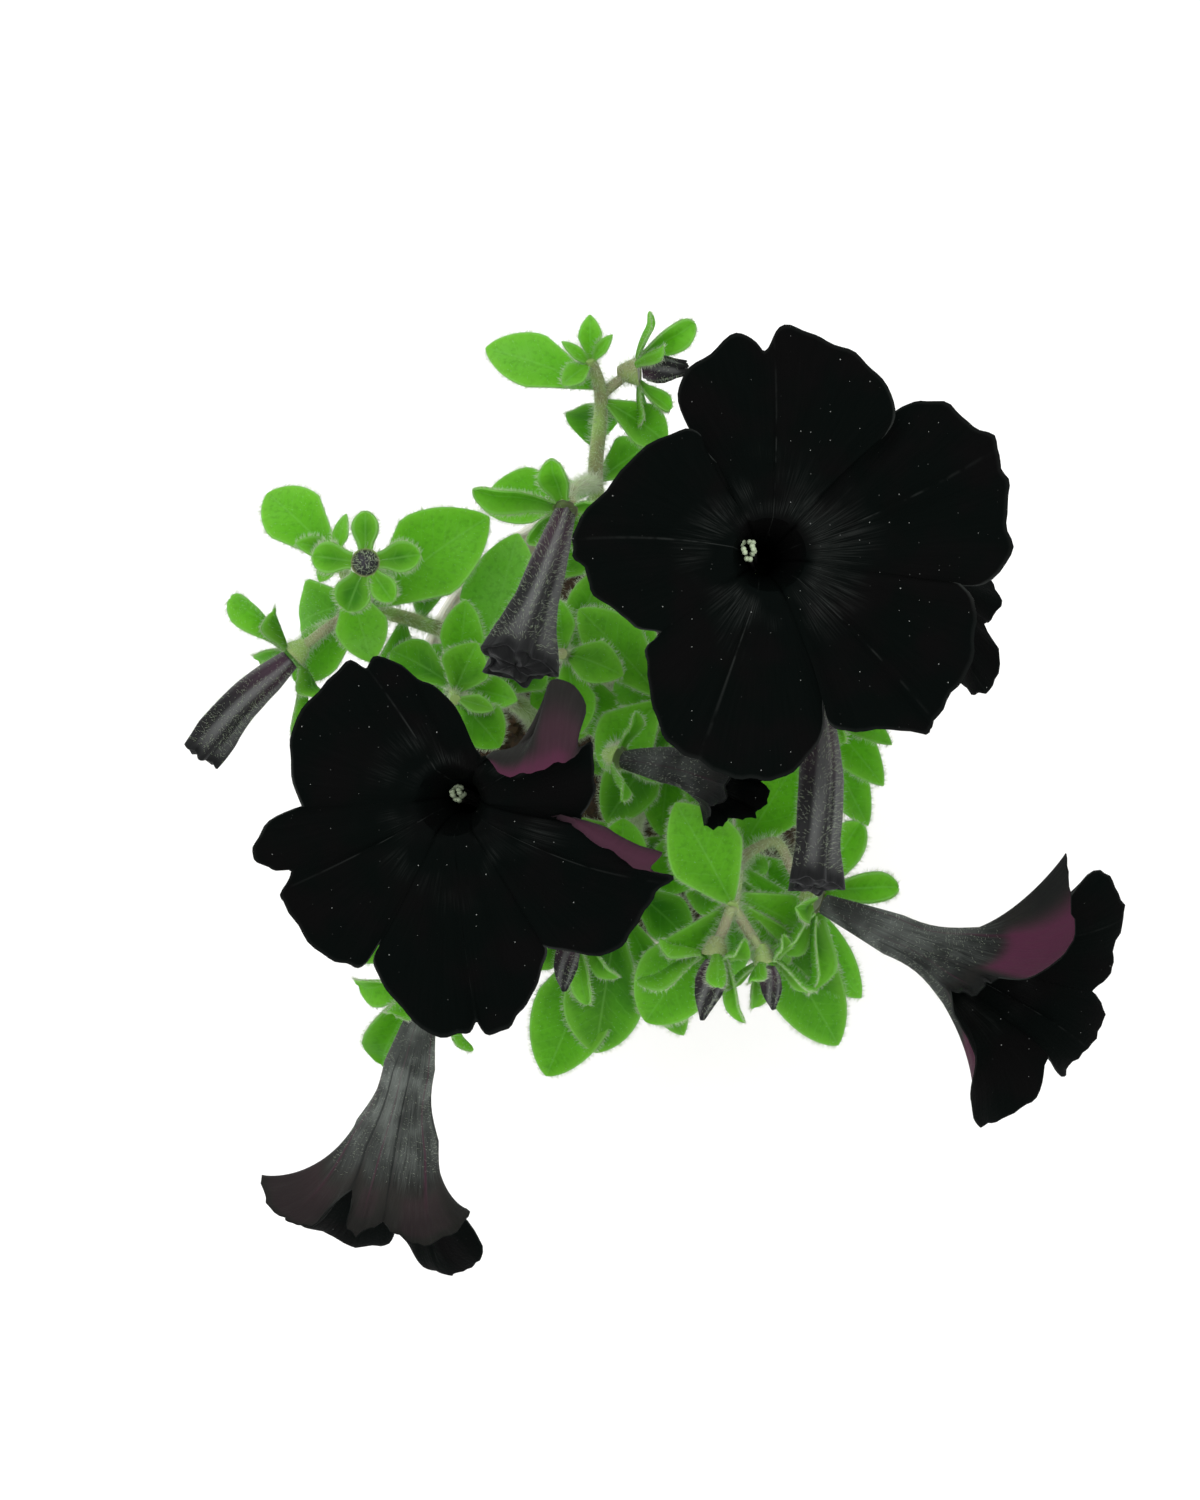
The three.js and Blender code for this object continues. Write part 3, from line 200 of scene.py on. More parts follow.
class PieceMesh:
    """Gathers points, faces, face slots and named surface values of one piece, in millimetres."""

    def __init__(self) -> None:
        """Start an empty piece."""
        self.points: list[np.ndarray] = []
        self.quads: list[np.ndarray] = []
        self.slots: list[np.ndarray] = []
        self.fields: list[tuple[int, Fields]] = []
        self.count = 0

    def add(self, points: np.ndarray, quads: np.ndarray, where: Union[Where, np.ndarray],
            fields: Optional[Fields] = None) -> None:
        """Take in one body of points and quads; a triangle repeats its last corner.

        Args:
            points: the points, one a row.
            quads: corner numbers, four a row.
            where: the slot of all the faces, or one slot number for each.
            fields: surface values, one for each point or one for all.
        """
        self.points.append(np.asarray(points, float))
        self.quads.append(np.asarray(quads, int) + self.count)
        slot = where.value if isinstance(where, Where) else where
        self.slots.append(np.broadcast_to(slot, len(quads)))
        self.fields.append((len(points), fields or {}))
        self.count += len(points)

    def made(self, name: str, materials: Sequence[bpy.types.Material],
             sharp: float = 50) -> bpy.types.Object:
        """Turn what was gathered into one mesh object in metres.

        Args:
            name: the piece's name.
            materials: one for each slot in use.
            sharp: the angle in degrees over which an edge isn't shaded smooth.

        Returns:
            The new object, linked to the scene.
        """
        quads = np.concatenate(self.quads)
        triangles = quads[:, 2] == quads[:, 3]
        sizes = np.where(triangles, 3, 4)
        keep = np.ones(quads.shape, bool)
        keep[triangles, 3] = False
        mesh = bpy.data.meshes.new(name)
        mesh.vertices.add(self.count)
        mesh.loops.add(int(sizes.sum()))
        mesh.polygons.add(len(quads))
        for items, key, values, kind in (
            (mesh.vertices, "co", np.concatenate(self.points).ravel() * MM, np.float32),
            (mesh.loops, "vertex_index", quads[keep], np.int32),
            (mesh.polygons, "loop_start", np.cumsum(sizes) - sizes, np.int32),
            (mesh.polygons, "material_index", np.concatenate(self.slots), np.int32),
            (mesh.polygons, "use_smooth", np.ones(len(quads)), bool),
        ):
            items.foreach_set(key, values.astype(kind))
        mesh.update(calc_edges=True)
        for key in sorted({key for _, fields in self.fields for key in fields}):
            values = [np.broadcast_to(fields.get(key, 0.0), count) for count, fields in self.fields]
            attribute = mesh.attributes.new(key, "FLOAT", "POINT")
            attribute.data.foreach_set("value", np.concatenate(values).astype(np.float32))
        mesh.set_sharp_from_angle(angle=math.radians(sharp))
        for material in materials:
            mesh.materials.append(material)
        made = bpy.data.objects.new(name, mesh)
        bpy.context.scene.collection.objects.link(made)
        return made


def grid_quads(rows: int, columns: int, wrap: bool = False) -> np.ndarray:
    """List the quads of a grid of points, row by row; wrap joins its last column to its first."""
    across = columns if wrap else columns - 1
    row, place = np.meshgrid(np.arange(rows - 1), np.arange(across), indexing="ij")
    here, beside = row * columns + place, row * columns + (place + 1) % columns
    return np.stack([c.ravel() for c in (here, beside, beside + columns, here + columns)], axis=1)


def grid_normals(grid: np.ndarray, wrap: bool = False) -> np.ndarray:
    """Give the unit normal at each point of a grid of rows and columns."""
    down = np.gradient(grid, axis=0)
    if wrap:
        over = (np.roll(grid, -1, axis=1) - np.roll(grid, 1, axis=1)) / 2
    else:
        over = np.gradient(grid, axis=1)
    return unit(np.cross(over, down))


def add_sheet(mesh: PieceMesh, grid: np.ndarray, thickness: Union[float, np.ndarray], fields: Fields,
              wrap: bool = False, back: Where = Where.FACE) -> np.ndarray:
    """Add a thin closed sheet: a grid of points with half its thickness on either side and a wall round it.

    Args:
        mesh: the piece that takes it.
        grid: the middle points, rows by columns by three.
        thickness: one thickness, or one for each point.
        fields: surface values, rows by columns, or one for all.
        wrap: whether the last column joins the first.
        back: the slot of the side away from the normals.

    Returns:
        The grid's normals.
    """
    shape = grid.shape[:2]
    normals = grid_normals(grid, wrap)
    half = np.broadcast_to(thickness, shape)[..., None] / 2
    count = shape[0] * shape[1]
    top = (grid + normals * half).reshape(-1, 3)
    under = (grid - normals * half).reshape(-1, 3)
    quads = grid_quads(*shape, wrap)
    index = np.arange(count).reshape(shape)
    edges = [index[0], index[-1][::-1]]
    if wrap:
        edges = [np.append(e, e[0]) for e in edges]
    else:
        edges += [index[:, -1], index[:, 0][::-1]]
    walls = [np.stack([e[1:], e[:-1], e[:-1] + count, e[1:] + count], axis=1) for e in edges]
    faces = np.concatenate([quads[:, ::-1], quads + count, *walls])
    slots = np.zeros(len(faces), int)
    slots[len(quads):2 * len(quads)] = back.value
    both = {key: np.tile(np.broadcast_to(value, shape).ravel(), 2) for key, value in fields.items()}
    mesh.add(np.concatenate([top, under]), faces, slots, both)
    return normals


def carried_frames(centres: np.ndarray) -> tuple[np.ndarray, np.ndarray, np.ndarray]:
    """Carry a pair of crosswise unit vectors along a run of points without twisting them.

    Args:
        centres: the points, one a row.

    Returns:
        The tangents, and two unit vectors across each.
    """
    tangents = unit(np.gradient(centres, axis=0))
    across = np.array([0.0, 1.0, 0.0]) if abs(tangents[0][0]) > 1 - STEEP else np.array([1.0, 0.0, 0.0])
    sides = []
    for tangent in tangents:
        across = unit(across - tangent * np.dot(across, tangent))
        sides.append(across)
    return tangents, np.array(sides), np.cross(tangents, sides)


def add_stalk(mesh: PieceMesh, path: Sequence[Point], radii: Sequence[float], where: Where = Where.STALK,
              sides: int = 12, **fields: float) -> tuple[np.ndarray, np.ndarray]:
    """Add a round stalk along a smooth path, closed at both ends.

    Args:
        mesh: the piece that takes it.
        path: the points that it goes through.
        radii: its radius, spread evenly over its length.
        where: the slot of its faces.
        sides: points round it.
        fields: surface values for all its points.

    Returns:
        Its rings of points and their outward normals.
    """
    count = (len(path) - 1) * RINGS_A_SPAN
    centres = SmoothPath(tuple(tuple(p) for p in path)).sampled(count)
    radius = np.interp(np.linspace(0, 1, count + 1), np.linspace(0, 1, len(radii)), radii)
    _, first, second = carried_frames(centres)
    angles = np.arange(sides) * TURN / sides
    outward = first[:, None] * column(np.cos(angles)) + second[:, None] * column(np.sin(angles))
    rings = centres[:, None] + outward * radius[:, None, None]
    points = np.concatenate([rings.reshape(-1, 3), centres[:1], centres[-1:]])
    start, end, last = len(points) - 2, len(points) - 1, count * sides
    side = np.arange(sides)
    beside = (side + 1) % sides
    caps = [np.stack([np.full(sides, start), beside, side, side], axis=1),
            np.stack([np.full(sides, end), last + side, last + beside, last + beside], axis=1)]
    lengths = np.append(0, np.cumsum(np.linalg.norm(np.diff(centres, axis=0), axis=1)))
    along = np.concatenate([np.repeat(lengths, sides), [0, lengths[-1]]])
    around = np.concatenate([np.tile(angles, count + 1), [0, 0]])
    mesh.add(points, np.concatenate([grid_quads(count + 1, sides, True), *caps]), where,
             {**fields, "along": along, "around": around})
    return rings, outward


# Hairs


@dataclass(frozen=True)
class Down:
    """How a surface is haired: how closely, and how long and thick at the root its hairs are.

    Closely means hairs to a square millimetre on a surface, and millimetres between hairs on an edge.
    """

    close: float
    length: float
    radius: float


STEM_DOWN = Down(6, 1.9, 0.034)
STALK_DOWN = Down(6, 2.3, 0.034)
CUP_DOWN = Down(6, 1.7, 0.034)
HEART_DOWN = Down(7, 1.2, 0.045)
LEAF_DOWN = Down(0.6, 0.8, 0.022)
LEAF_FRINGE = Down(0.1, 1.2, 0.034)
SEPAL_DOWN = Down(2.2, 1.1, 0.028)
SEPAL_FRINGE = Down(0.09, 1.3, 0.036)
TUBE_DOWN = Down(2.5, 1.0, 0.02)
BUD_DOWN = Down(2.6, 1.3, 0.019)
HAIR_LEAN = 0.35
SHORTEST_HAIR = 0.45


class HairCoat:
    """The fine pale hairs of one shoot or flower: thin three-sided spikes that stand on its surfaces."""

    def __init__(self, seed: int) -> None:
        """Start a coat with its own fixed run of random numbers."""
        self.random = np.random.default_rng(seed)
        self.roots: list[np.ndarray] = []
        self.ways: list[np.ndarray] = []
        self.thickness: list[np.ndarray] = []

    def stand(self, roots: np.ndarray, ways: np.ndarray, down: Down) -> None:
        """Stand hairs on points.

        Args:
            roots: where they stand, one a row.
            ways: the unit direction of each.
            down: their length and thickness.
        """
        lean = self.random.normal(0, HAIR_LEAN, ways.shape)
        reach = down.length * self.random.uniform(SHORTEST_HAIR, 1, (len(roots), 1))
        self.roots.append(roots)
        self.ways.append(unit(ways + lean) * reach)
        self.thickness.append(np.full(len(roots), down.radius))

    def over(self, grid: np.ndarray, normals: np.ndarray, down: Down, wrap: bool = False,
             keep: Optional[np.ndarray] = None) -> None:
        """Scatter hairs over a grid of points.

        Args:
            grid: points, rows by columns by three.
            normals: their unit normals.
            down: how closely they stand, their length and thickness.
            wrap: whether the last column joins the first.
            keep: the share of hairs kept at each grid point.
        """
        quads = grid_quads(*grid.shape[:2], wrap)
        points, ways = grid.reshape(-1, 3), normals.reshape(-1, 3)
        corners = points[quads]
        diagonals = corners[:, 2] - corners[:, 0], corners[:, 3] - corners[:, 1]
        area = np.linalg.norm(np.cross(*diagonals), axis=1) / 2
        if keep is not None:
            area = area * keep.ravel()[quads[:, 0]]
        count = int(area.sum() * down.close)
        if count == 0:
            return
        chosen = self.random.choice(len(quads), count, p=area / area.sum())
        u, v = self.random.random((2, count, 1))
        weights = ((1 - u) * (1 - v), u * (1 - v), u * v, (1 - u) * v)
        roots = sum(w * points[quads[chosen, i]] for i, w in enumerate(weights))
        stand = unit(sum(w * ways[quads[chosen, i]] for i, w in enumerate(weights)))
        self.stand(roots, stand, down)

    def along(self, line: np.ndarray, ways: np.ndarray, down: Down) -> None:
        """Set a fringe of hairs along a line of points, such as a leaf's edge."""
        lengths = np.append(0, np.cumsum(np.linalg.norm(np.diff(line, axis=0), axis=1)))
        count = max(int(lengths[-1] / down.close), 1)
        place = self.random.uniform(0, lengths[-1], count)
        roots, stand = (np.stack([np.interp(place, lengths, values[:, i]) for i in range(3)], axis=1)
                        for values in (line, ways))
        self.stand(roots, unit(stand), down)

    def made(self, name: str, material: bpy.types.Material) -> bpy.types.Object:
        """Make the whole coat one mesh object."""
        roots, ways = np.concatenate(self.roots), np.concatenate(self.ways)
        radius = column(np.concatenate(self.thickness))
        aim = unit(ways)
        side = unit(np.cross(aim, self.random.normal(0, 1, aim.shape)))
        other = np.cross(aim, side)
        thirds = (0, TURN / 3, TURN * 2 / 3)
        feet = [roots + (side * math.cos(a) + other * math.sin(a)) * radius for a in thirds]
        points = np.stack([*feet, roots + ways], axis=1).reshape(-1, 3)
        base = 4 * column(np.arange(len(roots)))
        sides = np.concatenate([base + np.array(f) for f in ([0, 1, 3, 3], [1, 2, 3, 3], [2, 0, 3, 3])])
        mesh = PieceMesh()
        mesh.add(points, sides, Where.FACE, {"tip": np.tile([0.0, 0.0, 0.0, 1.0], len(roots))})
        return mesh.made(name, [material], sharp=180)


def fitted(piece: bpy.types.Object, node: Optional[str] = None) -> None:
    """Fix a piece to the model's only body, hide the node that it stands for and log its faces.

    Args:
        piece: the new object.
        node: the node that it replaces, if it replaces one.
    """
    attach(piece, "root")
    if node:
        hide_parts(node)
    LOG.info("%s: %d faces", piece.name, len(piece.data.polygons))


# Leaves, calyces and stems


def blade_fields(u: np.ndarray, v: np.ndarray, half: np.ndarray, length: float, **more: float) -> Fields:
    """Give the surface values that leaves and sepals share.

    Args:
        u: shares of the length, one a row.
        v: shares of the half width, one a column.
        half: half the width at each row.
        length: the blade's length.
        more: further values for the whole blade.

    Returns:
        The distance along and across the blade and half its width there, with what was given.
    """
    shape = (len(u), len(v))
    return {"along": np.broadcast_to(column(u * length), shape), "across": v * column(half),
            "half": np.broadcast_to(column(half), shape), **more}


@dataclass(frozen=True)
class Leaf:
    """One leaf: where it starts and ends, how wide it is, how high it arches and how far it rolls."""

    start: Point
    tip: Point
    wide: float
    arch: float
    roll: float = 0.0
    cup: float = 0.22

    def half_width(self, along: np.ndarray) -> np.ndarray:
        """Give half the width at shares of the length, for a plump blade with a blunt tip."""
        rise = (along / WIDEST) ** (WIDEST * PLUMP)
        fall = np.clip((1 - along) / (1 - WIDEST), 0, 1) ** ((1 - WIDEST) * PLUMP + 0.08)
        return self.wide / 2 * rise * fall

    def grow(self, mesh: PieceMesh, coat: HairCoat, seat: np.ndarray, random: np.random.Generator) -> None:
        """Add the leaf to its shoot.

        Args:
            mesh: the shoot's mesh.
            coat: the shoot's hairs.
            seat: the point on the stem that it leaves from.
            random: the shoot's run of random numbers.
        """
        tip = np.asarray(self.tip, float)
        length = np.linalg.norm(tip - seat)
        along = (tip - seat) / length
        up = np.array([0.0, 0.0, 1.0]) - along * along[2]
        if np.linalg.norm(up) < STEEP:
            up = np.array([0.0, 1.0, 0.0]) - along * along[1]
        up = turned(unit(up), along, math.radians(self.roll))
        across = np.cross(along, up)
        u = (1 - np.cos(np.linspace(0, np.pi, LEAF_ROWS[int(length > LONG_LEAF)]))) / 2
        v = np.linspace(-1, 1, LEAF_COLUMNS)
        half = np.maximum(self.half_width(u), np.where(u < 0.5, BLADE_NECK, BLADE_TIP))
        rib = seat + (tip - seat) * column(u) + up * column(4 * self.arch * u * (1 - u))
        # A long swell runs over the whole blade, and a shorter one differs from side to side
        phase = random.uniform(0, ANY_PHASE, 3)
        wave = np.sin(column(u) * 9 + phase[0] + v * 0.9) * 0.6
        wave = (wave + np.sin(column(u) * 17 + phase[1] * np.sign(v)) * 0.4) * np.abs(v) ** 2.5
        cupped = self.cup * np.abs(v) ** 1.3 * column(half) + wave * column(half * 0.09)
        furrow = -FURROW_DEPTH * np.exp(-(v * column(half) / FURROW_WIDTH) ** 2)
        furrow = furrow * column(np.minimum(half, 1))
        grid = rib[:, None] + across * (v * column(half))[..., None] + up * (cupped + furrow)[..., None]
        # Painted light: leaves whose tips stand higher get a lighter tone, so that lower leaves look shaded
        painted_light = PAINTED_LIGHT_TONE * float(smooth(*PAINTED_LIGHT_HEIGHTS, tip[2]))
        fields = blade_fields(u, v, half, length, tone=0.65 * random.uniform() + painted_light)
        normals = add_sheet(mesh, grid, BLADE_THICKNESS * (0.55 + 0.45 * (1 - np.abs(v))), fields)
        for side, way in ((0, -1), (-1, 1)):
            lean = across * way * 0.9 + along * 0.35 + normals[:, side] * 0.15
            coat.along(grid[:, side], lean, LEAF_FRINGE)
        middle = normals[len(u) // 2, LEAF_COLUMNS // 2]
        coat.over(grid, -normals if middle @ up < 0 else normals, LEAF_DOWN)


@dataclass(frozen=True)
class Sepal:
    """One blunt sepal: its tip, width, outward bulge, inward cup and twist in degrees."""

    tip: Point
    wide: float
    arch: float = 0.6
    cup: float = 0.3
    turn: float = 0.0

    def grow(self, mesh: PieceMesh, coat: HairCoat, root: np.ndarray, around: np.ndarray,
             random: np.random.Generator) -> None:
        """Add the sepal to its calyx.

        Args:
            mesh: the shoot's mesh.
            coat: the shoot's hairs.
            root: the point on the cup's rim that it leaves from.
            around: the unit direction round the cup there.
            random: the shoot's run of random numbers.
        """
        tip = np.asarray(self.tip, float)
        length = np.linalg.norm(tip - root)
        along = (tip - root) / length
        u = (1 - np.cos(np.linspace(0, np.pi, SEPAL_ROWS))) / 2
        v = np.linspace(-1, 1, SEPAL_COLUMNS)
        across = turned(around, along, np.radians(self.turn * np.sqrt(u)))
        outward = unit(np.cross(across, along))
        rib = root + (tip - root) * column(u) + outward * column(4 * self.arch * u * (1 - u))
        blunt = np.sqrt(np.clip(1 - (np.clip(u - 0.68, 0, 1) / 0.32) ** 2, 0, 1))
        half = np.maximum(self.wide / 2 * (0.52 + 0.48 * smooth(0, 0.6, u)) * blunt, BLADE_TIP)
        cupped = -np.abs(v) ** 1.7 * column(half) * (self.cup + 0.25)
        curled_tip = column(0.35 * self.wide * smooth(0.6, 1, u) ** 2)
        ridge = RIDGE_HEIGHT * np.exp(-(v * column(half) / RIDGE_WIDTH) ** 2)
        grid = rib[:, None] + across[:, None] * (v * column(half))[..., None]
        grid = grid + outward[:, None] * (cupped + curled_tip + ridge)[..., None]
        fields = blade_fields(u, v, half, length, tone=0.4 + 0.4 * random.uniform())
        normals = add_sheet(mesh, grid, BLADE_THICKNESS, fields)
        middle = SEPAL_ROWS // 2 - 1
        if np.sum(normals[middle, SEPAL_COLUMNS // 2] * outward[middle]) < 0:
            normals = -normals
        for side, way in ((0, -1), (-1, 1)):
            coat.along(grid[:, side], across * way + along * 0.4, SEPAL_FRINGE)
        coat.over(grid, normals, SEPAL_DOWN)


@dataclass(frozen=True)
class Calyx:
    """A flower's green cup on its stalk, whose rim runs out in sepals; a heart is a closed dome within."""

    stalk: tuple[Point, ...]
    at: Point
    towards: Point
    radius: float
    length: float = CALYX_LENGTH
    sepals: tuple[Sepal, ...] = ()
    heart: float = 0.0

    def grow(self, mesh: PieceMesh, coat: HairCoat, seat: np.ndarray, random: np.random.Generator) -> None:
        """Add the stalk, the cup and the sepals to their shoot.

        Args:
            mesh: the shoot's mesh.
            coat: the shoot's hairs.
            seat: the point on the stem that the stalk leaves from.
            random: the shoot's run of random numbers.
        """
        centre = np.asarray(self.at, float)
        axis = unit(np.asarray(self.towards, float) - centre)
        side = np.cross(np.array([0.0, 1.0, 0.0]), axis)
        if np.linalg.norm(side) < STEEP:
            side = np.array([1.0, 0.0, 0.0])
        side = unit(side - axis * (side @ axis))
        front = np.cross(axis, side)
        route = [seat, *self.stalk[1:], centre - axis * self.length * STALK_REACH]
        rings, outward = add_stalk(mesh, route, STALK_RADII, stalk=1.0)
        coat.over(rings, outward, STALK_DOWN, wrap=True)
        angles = np.linspace(0, TURN, CUP_SIDES, endpoint=False)
        out = side * column(np.cos(angles)) + front * column(np.sin(angles))
        cup = np.array([centre - axis * self.length * (1 - up) + out * self.radius * wide
                        for up, wide in CUP])
        inner = np.array([centre + axis * (up * self.heart - sink) + out * self.radius * wide
                          for up, wide, sink in HEART])
        wall = np.concatenate([cup, inner])
        dark = np.repeat([0.0] * len(cup) + [1.0 if self.heart else 0.5] * len(inner), CUP_SIDES)
        mesh.add(wall.reshape(-1, 3), grid_quads(len(wall), CUP_SIDES, True), Where.STALK, {"heart": dark})
        coat.over(cup, np.broadcast_to(out, cup.shape), CUP_DOWN, wrap=True)
        if self.heart:
            coat.over(inner, np.broadcast_to(axis + out * 0.5, inner.shape), HEART_DOWN, wrap=True)
        for sepal in self.sepals:
            way = np.asarray(sepal.tip, float) - centre
            angle = math.atan2(way @ front, way @ side)
            spoke = side * math.cos(angle) + front * math.sin(angle)
            root = centre + spoke * self.radius * 0.96 - axis * 0.3
            sepal.grow(mesh, coat, root, np.cross(axis, spoke), random)


@dataclass(frozen=True)
class Stem:
    """A shoot's round main stem."""

    path: tuple[Point, ...]
    thick: float
    thin: float

    def nearest(self, wanted: Point) -> np.ndarray:
        """Give the point of the stem's middle line that lies nearest to a wanted place."""
        line = SmoothPath(self.path).sampled(SEAT_STEPS)
        return line[np.argmin(np.linalg.norm(line - np.asarray(wanted, float), axis=1))]


@dataclass(frozen=True)
class Shoot:
    """A leafy stem with everything green that grows on it."""

    node: str
    stem: Stem
    leaves: tuple[Leaf, ...]
    calyces: tuple[Calyx, ...] = ()

    def build(self, seed: int, dress: "Wardrobe") -> None:
        """Make the shoot and its hairs.

        Args:
            seed: what its random numbers start from.
            dress: the materials.
        """
        name = self.node.replace("leafy_stem", "shoot")
        random = np.random.default_rng(seed)
        mesh, coat = PieceMesh(), HairCoat(seed)
        rings, outward = add_stalk(mesh, self.stem.path, (self.stem.thick, self.stem.thin))
        coat.over(rings, outward, STEM_DOWN, wrap=True)
        for calyx in self.calyces:
            calyx.grow(mesh, coat, self.stem.nearest(calyx.stalk[0]), random)
        for leaf in self.leaves:
            leaf.grow(mesh, coat, self.stem.nearest(leaf.start), random)
        fitted(mesh.made(name, [dress.leaf, dress.leaf, dress.stem]), self.node)
        fitted(coat.made(name + "_hairs", dress.hair))


# Blooms, stamens and buds


@dataclass(frozen=True)
class Spoke:
    """One line of a bloom's limb, from throat to edge: angle, radius and rise about the bloom's axis.

    A fold gives the angle, radius and rise at which the petal turns back on its way to the edge.
    """

    angle: float
    radius: float
    rise: float = 0.0
    fold: Optional[Point] = None
    parts: bool = False


def lobes(*runs: Sequence[Point]) -> tuple[Spoke, ...]:
    """Lay out a limb from its lobes, each a run of edge points that starts at the notch before it."""
    return tuple(Spoke(*point, parts=not index) for run in runs for index, point in enumerate(run))


@dataclass(frozen=True)
class Patch:
    """A violet patch on a lobe's back: the lobe, its middle and half width across, reach and strength."""

    petal: int
    place: float
    half: float
    near: float
    far: float
    strength: float = 1.0


@dataclass(frozen=True)
class Bloom:
    """A trumpet flower: a tube that widens from its calyx to the throat, and a limb of five lobes.

    The laps say by how many degrees neighbouring lobes are drawn over each other at the notches: a
    positive lap puts the earlier lobe on top, and a negative one the later.
    """

    node: str
    base: Point
    throat: Point
    axis: Point
    right: Point
    radii: tuple[float, float, float]
    flare: float
    dip: float
    threads: int
    limb: tuple[Spoke, ...]
    laps: tuple[float, ...] = ()
    lean: tuple[float, float] = (0.0, 0.0)
    shade: float = 0.0
    anthers_at: float = 0.93
    patches: tuple[Patch, ...] = ()

    def axes(self) -> tuple[np.ndarray, np.ndarray, np.ndarray]:
        """Give the bloom's forward, side and up directions."""
        forward = unit(np.asarray(self.axis, float))
        side = np.asarray(self.right, float)
        side = unit(side - forward * (side @ forward))
        return forward, side, np.cross(forward, side)

    def way(self) -> float:
        """Say which way round the axis the limb's points run: 1 for rising angles, -1 for falling."""
        return math.copysign(1, self.limb[1].angle - self.limb[0].angle)

    def notches(self) -> list[int]:
        """List the numbers of the spokes where lobes part."""
        return [index for index, spoke in enumerate(self.limb) if spoke.parts]

    def middle(self, share: np.ndarray) -> np.ndarray:
        """Give points of the tube's bent middle line."""
        start, mouth = np.asarray(self.base, float), np.asarray(self.throat, float)
        bend = mouth - self.axes()[0] * np.linalg.norm(mouth - start) * TUBE_BEND
        s = np.asarray(share, float)[..., None]
        return start * (1 - s) ** 2 + bend * 2 * s * (1 - s) + mouth * s ** 2

    def throat_angles(self) -> tuple[np.ndarray, np.ndarray, np.ndarray]:
        """Say where each spoke leaves the throat, how far across its lobe it is, and its lobe's number."""
        starts = self.notches()
        angles, places, numbers = [], [], []
        for number, (first, last) in enumerate(zip(starts, starts[1:] + [len(self.limb)])):
            start = self.limb[first].angle
            end = self.limb[last].angle if last < len(self.limb) else self.limb[0].angle + 360 * self.way()
            share = np.arange(last - first) / (last - first)
            angles.append(start + (end - start) * share)
            places.append(2 * share - 1)
            numbers.append(np.full(last - first, number))
        return np.concatenate(angles), np.concatenate(places), np.concatenate(numbers)

    def lapped(self) -> tuple[Spoke, ...]:
        """Give the limb with the spokes beside each notch drawn over or under their neighbours."""
        limb = list(self.limb)
        for start, lap in zip(self.notches(), self.laps):
            for side in (-1, 1):
                for step, share in enumerate(LAP_SHARES, start=1):
                    index = (start + side * step) % len(limb)
                    angle = limb[index].angle - side * self.way() * abs(lap) * share
                    rise = limb[index].rise - LAP_RISE * share * math.copysign(1, lap) * side
                    limb[index] = replace(limb[index], angle=angle, rise=rise)
        return tuple(limb)

    def on_limb(self, leaves: float, end: Point, reach: float) -> np.ndarray:
        """Place one point of the limb.

        Args:
            leaves: where the spoke leaves the throat, in degrees.
            end: the angle, radius and rise where it ends.
            reach: the share of the way out.

        Returns:
            The point.
        """
        forward, side, up = self.axes()
        angle, radius, rise = end
        turn = reach + (reach * reach - reach) * self.flare
        lift = self.dip * (1 - (1 - reach) ** 2) + rise * (1 - (1 - reach) ** (1 + self.flare))
        size = self.radii[2] + (radius - self.radii[2]) * turn
        a = math.radians(leaves + (angle - leaves) * turn)
        mouth = np.asarray(self.throat, float)
        return mouth + (side * math.cos(a) + up * math.sin(a)) * size + forward * lift

    def spoke_rows(self) -> np.ndarray:
        """Give the points of each spoke, from the tube's base out to the limb's edge, spokes by rows."""
        forward, side, up = self.axes()
        base_radius, waist, throat_radius = self.radii
        tube = np.linspace(0, 1, TUBE_ROWS, endpoint=False)
        widths = (base_radius * 0.8, base_radius * 1.05, waist, throat_radius)
        tube_radius = np.interp(tube, (0, 0.12, 0.5, 1), widths)
        hollow = np.sin(np.pi * np.clip(tube * 2 - 1, 0, 1))
        tube_radius = tube_radius - (throat_radius - waist) * 0.35 * hollow
        centres = self.middle(tube)
        rows = []
        for spoke, leaves in zip(self.lapped(), self.throat_angles()[0]):
            a = math.radians(leaves)
            out = side * math.cos(a) + up * math.sin(a)
            line = [centre + out * radius for centre, radius in zip(centres, tube_radius)]
            edge = (spoke.angle, spoke.radius, spoke.rise)
            for share in np.linspace(0, 1, LIMB_ROWS + 1):
                reach = min(share / FOLD_SHARE, 1) if spoke.fold else share
                point = self.on_limb(leaves, spoke.fold or edge, reach)
                if spoke.fold and share > FOLD_SHARE:
                    back = (share - FOLD_SHARE) / (1 - FOLD_SHARE)
                    point = point + (self.on_limb(leaves, edge, 1) - point) * back
                    point = point + forward * FOLD_RISE * math.sin(math.pi * back)
                line.append(point)
            rows.append(line)
        return np.array(rows)

